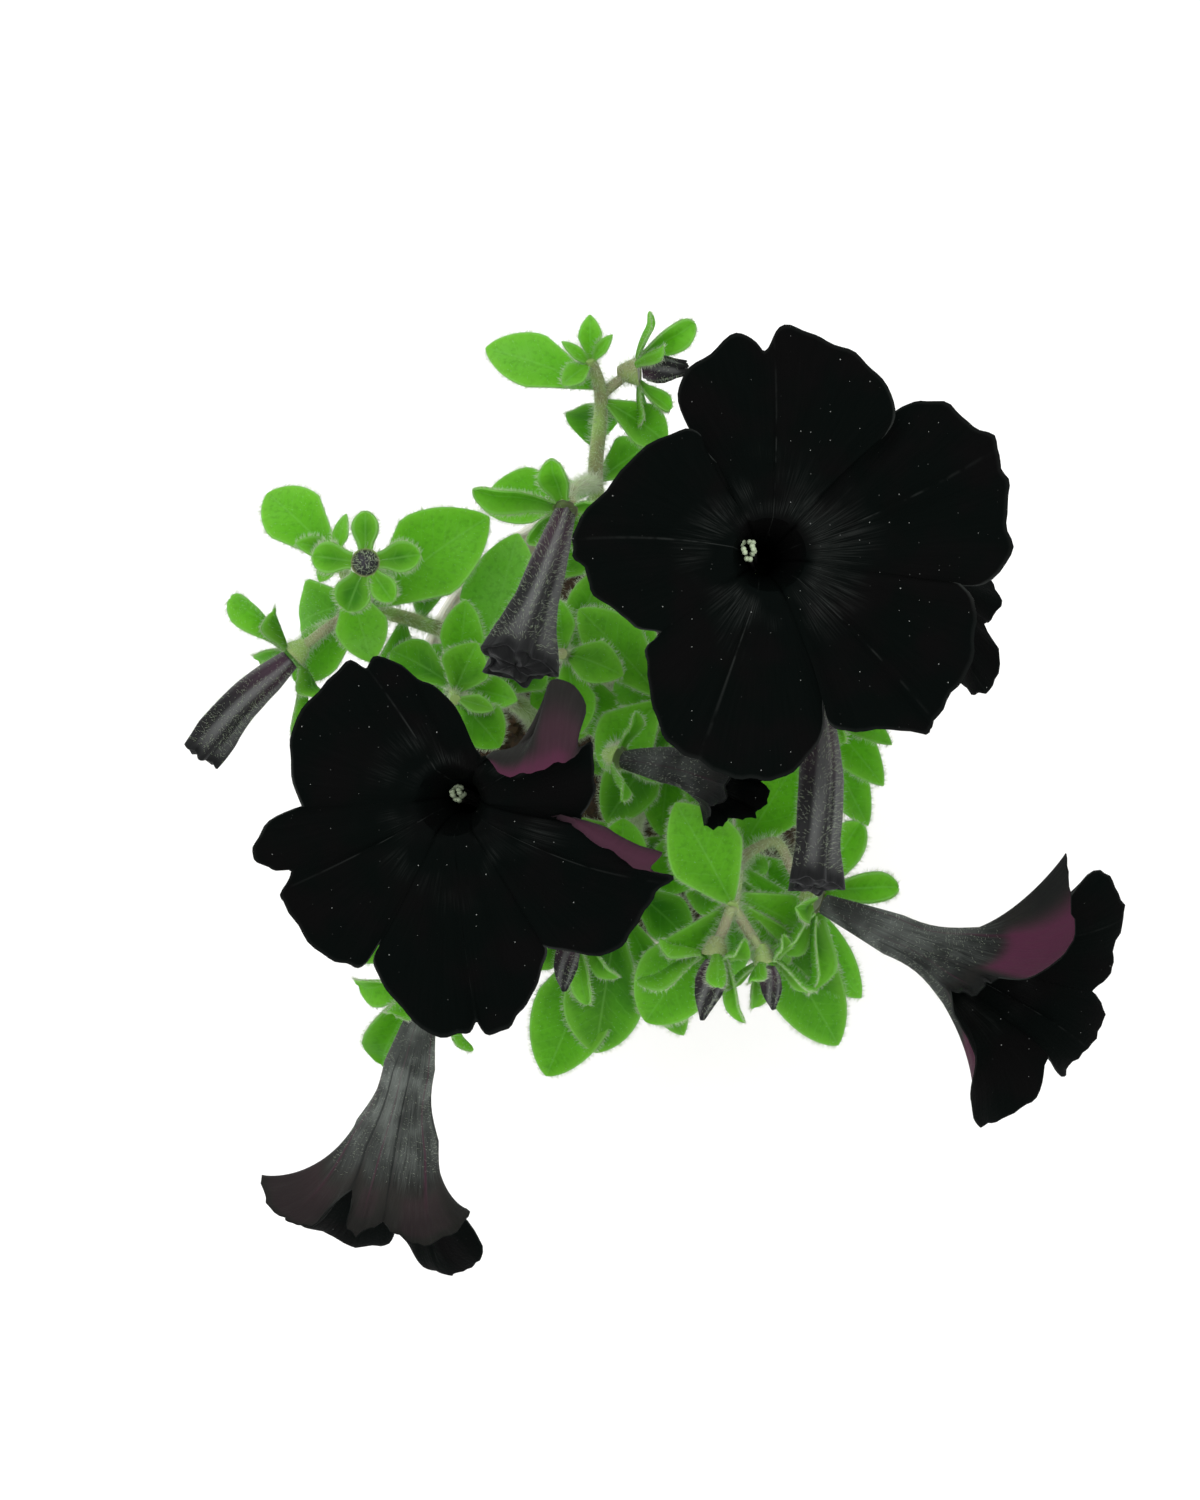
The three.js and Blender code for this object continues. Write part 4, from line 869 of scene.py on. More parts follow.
    def surface(self, random: np.random.Generator) -> tuple[np.ndarray, Fields]:
        """Give the whole sheet of the bloom, rows from base to edge, with its surface values.

        Args:
            random: the bloom's run of random numbers.

        Returns:
            The grid of points and the surface values.
        """
        spokes = self.spoke_rows()
        _, place, number = self.throat_angles()
        columns, places = [], []
        step = np.arange(BETWEEN) / BETWEEN
        for index in range(len(spokes)):
            after = (index + 1) % len(spokes)
            p1, p2 = spokes[index], spokes[after]
            p0 = p1 * 2 - p2 if self.limb[index].parts else spokes[index - 1]
            p3 = p2 * 2 - p1 if self.limb[after].parts else spokes[(index + 2) % len(spokes)]
            for t in step:
                square = (2 * p0 - 5 * p1 + 4 * p2 - p3) * t ** 2
                cube = (3 * p1 - p0 - 3 * p2 + p3) * t ** 3
                columns.append(0.5 * (2 * p1 + (p2 - p0) * t + square + cube))
            gap = 1 - place[index] if self.limb[after].parts else place[after] - place[index]
            places.extend(place[index] + gap * step)
        grid = np.array(columns).transpose(1, 0, 2)
        places, petals = np.array(places), np.repeat(number, BETWEEN)
        if self.way() > 0:
            grid, places, petals = grid[:, ::-1], places[::-1], petals[::-1]
        tube = np.linspace(0, 1, TUBE_ROWS, endpoint=False)
        reach = np.concatenate([tube, np.linspace(1, 2, LIMB_ROWS + 1)])
        grid = self.ruffled(grid, places, reach, random.uniform(0, ANY_PHASE, (5, 3))[petals])
        shape = grid.shape[:2]
        fields = {
            "lobe": np.broadcast_to(places, shape),
            "petal": np.broadcast_to(petals.astype(float), shape),
            "reach": np.broadcast_to(column(reach), shape),
            "violet": self.violet(places, petals, reach),
            "shade": self.shade,
        }
        return grid, fields

    def ruffled(self, grid: np.ndarray, places: np.ndarray, reach: np.ndarray,
                phase: np.ndarray) -> np.ndarray:
        """Give the sheet its waves, creases and seams, and its nicked edge.

        Args:
            grid: the smooth sheet, rows by columns by three.
            places: how far across its lobe each column is, from -1 to 1.
            reach: 0 to 1 up the tube and 1 to 2 out on the limb, for each row.
            phase: three random phases for each column, alike within a lobe.

        Returns:
            The ruffled sheet.
        """
        # Waves cross the lobe, a crease runs down its middle, seams part it from its neighbours and its
        # halves puff up between them
        out = column(np.clip(reach - 1, 0, 1))
        ruffle = np.sin(places * 5.5 + phase[:, 0]) * 0.55 + np.sin(places * 11 + phase[:, 1]) * 0.3
        crease = np.exp(-(places / 0.07) ** 2) * np.sin(np.pi * np.clip(out * 1.05, 0, 1)) ** 0.7
        seam = np.exp(-((1 - np.abs(places)) / 0.11) ** 2) * (1 - out) * column(smooth(0.3, 1, reach))
        puff = np.cos(places * np.pi) ** 2 * out * (1 - out)
        lift = ruffle * out ** 2 * RUFFLE_HEIGHT - crease * CREASE_DEPTH - seam * SEAM_DEPTH
        grid = grid + grid_normals(grid, True) * (lift - puff * PUFF_HEIGHT)[..., None]
        nick = 0.3 * np.sin(places * 19 + phase[:, 2]) + 0.22 * np.sin(places * 37 + phase[:, 1])
        outward = grid - np.roll(grid, 3, axis=0)
        outward = outward / np.maximum(np.linalg.norm(outward, axis=-1, keepdims=True), 0.1)
        return grid + outward * (nick * out ** 5 * (1 - np.abs(places)) ** 0.5)[..., None]

    def violet(self, places: np.ndarray, petals: np.ndarray, reach: np.ndarray) -> np.ndarray:
        """Say how violet the back of the bloom is, rows by columns."""
        amount = np.zeros((len(reach), len(places)))
        for patch in self.patches:
            across = 1 - smooth(patch.half * 0.55, patch.half, np.abs(places - patch.place))
            out = smooth(patch.near, patch.near + 0.15, reach)
            out = out * (1 - smooth(patch.far, patch.far + 0.08, reach))
            amount = np.maximum(amount, across * (petals == patch.petal) * column(out) * patch.strength)
        return amount

    def build(self, seed: int, dress: "Wardrobe") -> None:
        """Make the bloom, its hairs and its stamens.

        Args:
            seed: what its random numbers start from.
            dress: the materials.
        """
        name = self.node.replace("bloom", "flower")
        grid, fields = self.surface(np.random.default_rng(seed))
        mesh, coat = PieceMesh(), HairCoat(seed)
        thickness = PETAL_THICKNESS * np.interp(fields["reach"], (0, 1, 2), (1, 1, 0.5))
        normals = add_sheet(mesh, grid, thickness, fields, wrap=True, back=Where.BACK)
        flower = mesh.made(name, [dress.velvet, dress.petal_back])
        haired = TUBE_ROWS + LIMB_ROWS // 3
        if normals[2, 0] @ (grid[2, 0] - grid[2].mean(axis=0)) < 0:
            normals = -normals
        keep = np.interp(np.arange(haired), (0, TUBE_ROWS, haired), (1, 0.8, 0.1))
        keep = np.broadcast_to(column(keep), (haired, grid.shape[1]))
        coat.over(grid[:haired], normals[:haired], TUBE_DOWN, wrap=True, keep=keep)
        hairs = coat.made(name + "_hairs", dress.hair)
        self.build_stamens(dress)
        fitted(flower, self.node)
        fitted(hairs)

    def build_stamens(self, dress: "Wardrobe") -> None:
        """Make the threads with their anthers on one foot deep in the tube."""
        _, side, up = self.axes()
        mesh = PieceMesh()
        add_stalk(mesh, self.middle(np.array([0.11, 0.19])), (0.75, 0.75), Where.FACE, pale=0.0)
        for index in range(self.threads):
            angle = TURN * index / self.threads + math.radians(20)
            off = side * math.cos(angle) + up * math.sin(angle)
            shares = np.array([0.14, 0.5, self.anthers_at - 0.03 * (index % 3)])
            lean = (side * self.lean[0] + up * self.lean[1]) * column(shares ** 2)
            spread = (0.5 + 0.7 * (index * 2 % 5) / 2) * shares + 0.15
            path = self.middle(shares) + off * column(spread) + lean
            aim = unit(path[2] - path[1])
            add_stalk(mesh, path, (0.35, 0.3), Where.FACE, sides=8, pale=0.0)
            for split in (-0.3, 0.3):
                start = path[2] + np.cross(aim, off) * split
                add_stalk(mesh, [start + aim * k for k in (-0.1, 0.8, 1.6)], ANTHER_RADII, Where.FACE,
                          sides=10, pale=1.0)
        name = self.node.replace("bloom", "stamens_in")
        fitted(mesh.made(name, [dress.anther]), self.node.replace("bloom", "stamens"))


@dataclass(frozen=True)
class Bud:
    """A furled bud: a ribbed spindle whose end is ruffled where the lobes are still rolled up."""

    node: str
    path: tuple[Point, ...]
    radii: tuple[float, ...]
    ruffle: float
    twist: float = 0.5

    def build(self, seed: int, dress: "Wardrobe") -> None:
        """Make the bud and its hairs.

        Args:
            seed: what its random numbers start from.
            dress: the materials.
        """
        share = np.linspace(0, 1, BUD_ROWS)
        centres = SmoothPath(self.path).sampled(BUD_ROWS - 1)
        tangents, first, second = carried_frames(centres)
        angles = np.arange(BUD_SIDES) * TURN / BUD_SIDES
        radius = np.interp(share, np.linspace(0, 1, len(self.radii)), self.radii)
        radius[1:-1] = (radius[:-2] + radius[1:-1] * 2 + radius[2:]) / 4
        turn = angles + column(share * self.twist)
        # Five folded lobes make ribs with a fainter one between each two, and the free end is crumpled
        rib = 1 + 0.13 * np.cos(BUD_RIBS * turn) + 0.05 * np.cos(2 * BUD_RIBS * turn)
        crumple = 0.12 * np.sin(3 * turn + 1.3) + 0.06 * np.sin(7 * turn)
        girth = column(radius) * rib * (1 + crumple * column(smooth(0.7, 1, share)))
        out = first[:, None] * np.cos(turn)[..., None] + second[:, None] * np.sin(turn)[..., None]
        lip = self.ruffle * (0.4 + 0.25 * np.cos(BUD_RIBS * turn) + 0.16 * np.sin(9 * turn + 1))
        rings = centres[:, None] + out * girth[..., None]
        rings = rings + tangents[:, None] * (lip * column(smooth(0.85, 1, share)))[..., None]
        edge = BUD_RIBS * turn[-1]
        mouth = [rings[-1] + (centres[-1] - rings[-1]) * inward
                 + tangents[-1] * column(self.ruffle * up * (0.75 + 0.4 * np.cos(edge + 4 * inward)))
                 for inward, up in BUD_MOUTH]
        base = centres[0] + (rings[0] - centres[0]) * 0.1
        wall = np.concatenate([base[None], rings, np.array(mouth)])
        reach = np.concatenate([[0], share, np.linspace(1.02, 1.2, len(mouth))])
        fields = {
            "reach": np.repeat(reach, BUD_SIDES),
            "rib": np.tile(np.cos(BUD_RIBS * angles), len(wall)),
            "around": np.tile(angles, len(wall)),
        }
        mesh, coat = PieceMesh(), HairCoat(seed)
        quads = grid_quads(len(wall), BUD_SIDES, True)[:, ::-1]
        mesh.add(wall.reshape(-1, 3), quads, Where.FACE, fields)
        coat.over(rings[:-2], out[:-2], BUD_DOWN, wrap=True)
        name = self.node.replace("bud", "furled_bud")
        fitted(mesh.made(name, [dress.furled]), self.node)
        fitted(coat.made(name + "_hairs", dress.hair))


# The plant, measured

SHOOTS = (
    Shoot(
        "leafy_stem_back",
        Stem(((-3.5, 20, 61), (-4, 22, 88), (-8, 38, 110), (-7, 52, 120), (-9, 57, 127)), 1.7, 1.1),
        leaves=(
            Leaf((-8, 53, 121), (-28, 61, 119), 10.5, 2.5), Leaf((-7, 51, 120), (5, 45, 112), 8.2, 2),
            Leaf((-7, 51, 118), (-9, 48, 99), 10.8, 1.5), Leaf((-9, 57, 126), (-9, 64, 131), 4.4, 1),
            Leaf((-9, 56, 126), (-14, 52, 127), 4.4, 1), Leaf((-9, 56, 125), (-14, 59, 131), 2.4, 0.5),
            Leaf((-9, 56, 126), (-5, 60, 132), 2.4, 0.5), Leaf((-9, 37, 109), (-29, 35, 104), 10.7, 2.5),
            Leaf((-7, 38, 109), (2, 46, 105), 8.4, 2), Leaf((-8, 38, 108), (-10, 31, 94), 6.8, 1),
            Leaf((-6, 31, 100), (8, 34, 95), 9.1, 2), Leaf((-5, 26, 94), (-19, 30, 88), 10.3, 2),
        ),
        calyces=(
            Calyx(((-7, 52, 120),), (0, 56, 121.5), (3, 56, 122), 2.6, length=4, sepals=(
                Sepal((3, 65, 127), 3.4), Sepal((10, 63.5, 125), 5.5, turn=-70), Sepal((1, 47, 117), 3.9),
                Sepal((6, 50, 118), 3.4, turn=50), Sepal((5, 58, 128), 3))),
            Calyx(((-8, 38, 110), (-10, 34, 126), (-12, 30, 138)),
                  (-13.2, 24.8, 145), (-15, 17, 151), 2.4, sepals=(
                Sepal((-29, 26, 149), 5.8, arch=1.5, cup=0.4), Sepal((-16, 31, 152), 5.4),
                Sepal((-7, 24, 149), 3.9), Sepal((-10, 18, 143), 3.9), Sepal((-19, 19, 144), 3.9))),
        ),
    ),
    Shoot(
        "leafy_stem_upper_left",
        Stem(((-22.5, 10.6, 61), (-24, 11, 86), (-40, 12, 110), (-50, 14, 119), (-54, 20, 131)), 1.7, 1),
        leaves=(
            Leaf((-53, 19, 128), (-67, 33, 123), 11.6, 2.5),
            Leaf((-51, 19, 116), (-62, 13, 104), 12.5, 2), Leaf((-48, 13, 118), (-27, 28, 126), 16.5, 4),
            Leaf((-49, 14, 126), (-48, 2, 123), 9.6, 2), Leaf((-54, 20, 131), (-61, 21, 136), 4, 1),
            Leaf((-54, 20, 131), (-52, 26, 137), 2.9, 1), Leaf((-54, 20, 131), (-57, 15, 131), 3.5, 1),
            Leaf((-50, 12, 116), (-63, 2, 106), 9.1, 2), Leaf((-44, 12, 112), (-44, 1, 104), 8, 1.5),
            Leaf((-40, 12, 109), (-37, 27, 101), 10.3, 2), Leaf((-30, 11, 96), (-44, 3, 88), 10.3, 2),
        ),
        calyces=(
            Calyx(((-50, 14, 119), (-49, 15, 132)),
                  (-48, 15, 147), (-48, 14.5, 150), 2.6, heart=1.6, sepals=(
                Sepal((-48, 23, 150), 4.6), Sepal((-39, 16, 149), 5.5), Sepal((-43.6, 8.5, 148), 4.6),
                Sepal((-51, 7, 147), 6.5), Sepal((-57, 16, 148), 5.5))),
            Calyx(((-50, 14, 118), (-56, 9, 120)), (-62.5, 4.2, 118), (-66, 1, 117.5), 2.5, sepals=(
                Sepal((-74, 13, 126), 5.5, arch=1.5, cup=0.4, turn=-70),
                Sepal((-67, 11, 125), 5.1, turn=-60), Sepal((-59, -3, 116), 5.4, turn=50),
                Sepal((-62, -11, 106), 6, arch=1.2, turn=50), Sepal((-70, 4, 109), 4.6, arch=1))),
        ),
    ),
    Shoot(
        "leafy_stem_centre_left",
        Stem(((-19, 0, 61), (-21, 0, 88), (-29, 0, 108), (-33, -2, 118), (-33, -5, 124)), 1.6, 1),
        leaves=(
            Leaf((-33, -2, 118), (-31, 12, 130), 8, -1.2), Leaf((-32, -2, 117), (-45, 6, 113), 8.4, 3),
            Leaf((-33, -4, 120), (-29, 5, 126), 9.1, 1), Leaf((-29, 0, 109), (-22, 27, 117), 14.2, 3),
            Leaf((-33, -5, 123), (-26, -7, 125), 3.5, 0.8), Leaf((-33, -5, 122), (-25, -13, 121), 9.1, 2),
            Leaf((-32, -1, 114), (-22, -4, 118), 6.4, 1), Leaf((-24, 0, 96), (-38, 8, 86), 10.3, 1.5),
            Leaf((-26, 0, 100), (-18, 7, 96), 9.1, 1.5), Leaf((-27, 0, 104), (-38, -9, 99), 9.1, 1.5),
        ),
    ),
    Shoot(
        "leafy_stem_centre",
        Stem(((-4, 6, 61), (-6, 6, 88), (-11, 4, 108), (-13, 4, 120), (-14, 3, 126)), 1.7, 1),
        leaves=(
            Leaf((-13, 5, 118), (-7, 20, 118), 7.5, 1.5), Leaf((-12, 4, 108), (-19, 17, 106), 10.3, 1.5),
            Leaf((-14, 3, 124), (-14.5, 12, 130), 5.1, 0.6), Leaf((-13, 4, 122), (-3, -1, 126), 8.2, 2),
            Leaf((-12, 4, 108), (-6, -9, 106), 8.8, 1.5), Leaf((-9, 5, 100), (-10, 19, 95), 10.3, 1.5),
            Leaf((-7, 6, 92), (-15, -6, 87), 9.1, 1.5), Leaf((-13, 3, 121), (-11, -10, 117), 8, 1.5),
            Leaf((-8, 5, 97), (-20, 0, 93), 9, 1.5),
        ),
    ),
    Shoot(
        "leafy_stem_middle",
        Stem(((5, -3, 61), (5.5, -4, 88), (6, -6, 106), (4, -4, 119)), 1.6, 1.1),
        leaves=(
            Leaf((5, -3, 118), (-11, 12, 122), 11, 2.5), Leaf((5, -5, 119), (-6, 15, 114), 10.3, 2),
            Leaf((4, -4, 119), (-7, -16, 117), 11.4, 2.5), Leaf((5, -5, 112), (-4.5, 1.5, 107), 7, 1),
            Leaf((6, -6, 104), (-9, -3, 100), 10.3, 1.5), Leaf((6, -6, 106), (-6, -23, 98), 10.8, 2),
            Leaf((6, -5, 100), (4, -25, 95), 9.1, 2), Leaf((5, -4, 110), (16, 2, 105), 9.1, 1.5),
            Leaf((5.5, -4, 92), (-9, -12, 90), 9, 2),
        ),
        calyces=(
            Calyx(((5.6, -4.5, 92), (0, -10, 108), (-4, -13, 121)),
                  (-3.6, -16.4, 129), (0, -18, 131.5), 2.3, sepals=(
                Sepal((-2, -24, 134), 3.9), Sepal((0, -10, 134), 3.9), Sepal((4, -19, 126), 3.7))),
        ),
    ),
    Shoot(
        "leafy_stem_right",
        Stem(((12, 8, 61), (14, 8, 90), (22, 5, 112), (27, -1, 124)), 1.8, 1.3),
        leaves=(
            Leaf((27, -1, 124), (44, -15, 135), 6.4, 1), Leaf((26, 0, 123), (43, -21, 127), 9.1, 2),
            Leaf((26, 1, 120), (41, -26, 113), 9.8, 2), Leaf((24, 4, 115), (40, 18, 108), 12.5, 2.5),
            Leaf((21, 6, 110), (12, 20, 106), 10.3, 2), Leaf((17, 7, 101), (33, -4, 95), 10.3, 2),
            Leaf((15, 8, 94), (22, 24, 88), 10.3, 2),
        ),
        calyces=(
            Calyx(((20, 6, 108), (20, 10, 120)), (19, 15.5, 134), (19.5, 15, 140), 2.5, sepals=(
                Sepal((11, 19, 139), 4.6), Sepal((27, 20, 138), 4.6), Sepal((17, 6, 139), 4.6),
                Sepal((26, 9, 140), 4.6), Sepal((17, 24, 141), 4.6))),
            Calyx(((22, 5, 112), (28, 7, 118)), (33.5, 8.5, 124), (38, 9, 128), 2.5, sepals=(
                Sepal((35, 18, 129), 4.6), Sepal((40, 1, 127), 4.6), Sepal((42, 13, 122), 4.1),
                Sepal((33, 10, 133), 4.1), Sepal((33, 1, 130), 4.1))),
            Calyx(((27, -1, 124), (30, -4, 131)), (31.5, -7.5, 137.5), (31, -12, 140), 2.4, sepals=(
                Sepal((39, -11, 139), 4.1), Sepal((24, -10, 140), 4.1), Sepal((31, -4, 147), 4.1),
                Sepal((35, -15, 134), 3.9), Sepal((27, -14, 134), 3.9))),
        ),
    ),
    Shoot(
        "leafy_stem_front_right",
        Stem(((12, -14, 61), (13, -16, 86), (16, -27, 107), (17, -34, 119), (16, -43, 128)), 1.8, 1.3),
        leaves=(
            Leaf((16, -42, 128), (6, -26, 139), 13.9, 2.5), Leaf((17, -33, 118), (28, -15, 116), 13, 2.5),
            Leaf((17, -34, 117), (23, -34, 114), 4.4, 0.6), Leaf((16, -42, 126), (1, -61, 110), 14.2, 3),
            Leaf((17, -41, 124), (31, -46, 115), 8.7, 1.5),
            Leaf((17, -42, 125), (26, -52, 113), 8.4, 1.5),
            Leaf((17, -33, 112), (30, -39, 104), 8.7, 1.5),
            Leaf((16, -28, 108), (11, -13, 103), 9.6, 1.5), Leaf((16, -41, 122), (17, -53, 108), 5.7, 1),
            Leaf((16, -38, 120), (36, -64, 99), 13.7, 3), Leaf((17, -36, 116), (40, -56, 104), 10.3, 2),
            Leaf((15, -24, 101), (2, -36, 97), 10.3, 2), Leaf((14, -21, 96), (27, -19, 89), 10.3, 2),
            Leaf((14, -20, 93), (12, -39, 88), 10.3, 2),
        ),
        calyces=(
            Calyx(((17, -34, 119), (20, -32, 124), (24, -31, 126), (27, -36, 125)),
                  (31.6, -41.3, 124), (37, -44, 126), 2.6, sepals=(
                Sepal((46, -38, 122), 5.4, arch=1, turn=-60),
                Sepal((38.5, -27.5, 127), 6.5, arch=1, turn=-80),
                Sepal((25, -51, 124), 6.9, arch=0.8, cup=0.5),
                Sepal((32, -57, 118), 7.6, arch=1, cup=0.5), Sepal((29, -44, 131), 5.1))),
            Calyx(((16, -43, 128),), (12.9, -51.5, 127.7), (12, -57, 127), 2.5, sepals=(
                Sepal((3, -50, 129), 3.9, arch=0.4, cup=0.4, turn=-40),
                Sepal((0.5, -57, 125), 5.5, arch=0.8, cup=0.4, turn=-40), Sepal((18.5, -51, 131), 5.5),
                Sepal((17, -63, 122), 4.1), Sepal((13, -58, 132), 3.4))),
            Calyx(((16, -43, 127),), (22, -52.4, 125.2), (23, -56, 124.5), 2.1, sepals=(
                Sepal((21, -60, 117.5), 3.9), Sepal((30, -58, 122), 4.1), Sepal((15, -57, 121), 4.1),
                Sepal((26, -49, 129), 3.9), Sepal((20, -57, 130), 3.4))),
        ),
    ),
    Shoot(
        "leafy_stem_front",
        Stem(((-0.5, -18.5, 61), (-1, -20, 84), (-2, -34, 104), (-4, -42, 113)), 1.7, 1.2),
        leaves=(
            Leaf((-4, -42, 113), (-8, -65.5, 100), 14.6, 3),
            Leaf((-3, -41, 111), (-17, -69, 93), 14.8, 3), Leaf((-4, -41, 111), (8, -62, 97), 8.5, 2),
            Leaf((-3, -36, 106), (9, -45, 101), 9.1, 2), Leaf((-2, -33, 102), (-15, -42, 97), 10.3, 2),
            Leaf((-1, -26, 93), (10, -31, 88), 10.3, 2), Leaf((-1, -24, 90), (-14, -27, 85), 10.3, 2),
            Leaf((-3, -40, 110), (-3, -24, 109), 9.1, 1.5),
        ),
        calyces=(
            Calyx(((-4, -42, 113),), (-12.6, -47, 121), (-13, -51, 122), 2.2, sepals=(
                Sepal((-5, -55, 119), 4.6), Sepal((-10, -59, 116.5), 3.9), Sepal((-18, -53, 118), 4.1),
                Sepal((-10, -48, 127), 3.4), Sepal((-17, -48, 126), 3.4))),
            Calyx(((-2, -32, 101), (-12, -33, 112)), (-22.3, -27.4, 121.5), (-25, -27, 126), 2.5, sepals=(
                Sepal((-22, -37, 126), 4.4), Sepal((-30, -31, 124), 4.4), Sepal((-29, -21, 126), 4.4),
                Sepal((-18, -21, 128), 4.4), Sepal((-16, -29, 129), 4.4))),
        ),
    ),
    Shoot(
        "leafy_stem_front_left",
        Stem(((-18, -13.8, 61), (-19, -15, 86), (-28, -30, 103), (-34, -42, 110)), 1.7, 1.3),
        leaves=(
            Leaf((-34, -42, 110), (-52, -49, 104), 6.8, 1.5),
            Leaf((-31, -36, 107), (-48, -33, 100), 11.4, 2.5),
            Leaf((-31, -36, 106), (-20, -47, 101), 10.3, 2),
            Leaf((-24, -24, 98), (-40, -17, 92), 11.4, 2.5),
            Leaf((-22, -20, 93), (-10, -15, 88), 9.1, 1.5),
        ),
        calyces=(
            Calyx(((-34, -42, 110), (-36, -48, 112)), (-38, -55.4, 111.6), (-39, -60, 109), 2.6, sepals=(
                Sepal((-52, -55, 102), 6.9, arch=1, turn=70),
                Sepal((-49, -68, 90), 8.6, arch=0.8, turn=60), Sepal((-32, -66, 104), 5.1),
                Sepal((-44, -62, 120), 4.6), Sepal((-31, -58, 118), 4.6))),
        ),
    ),
)

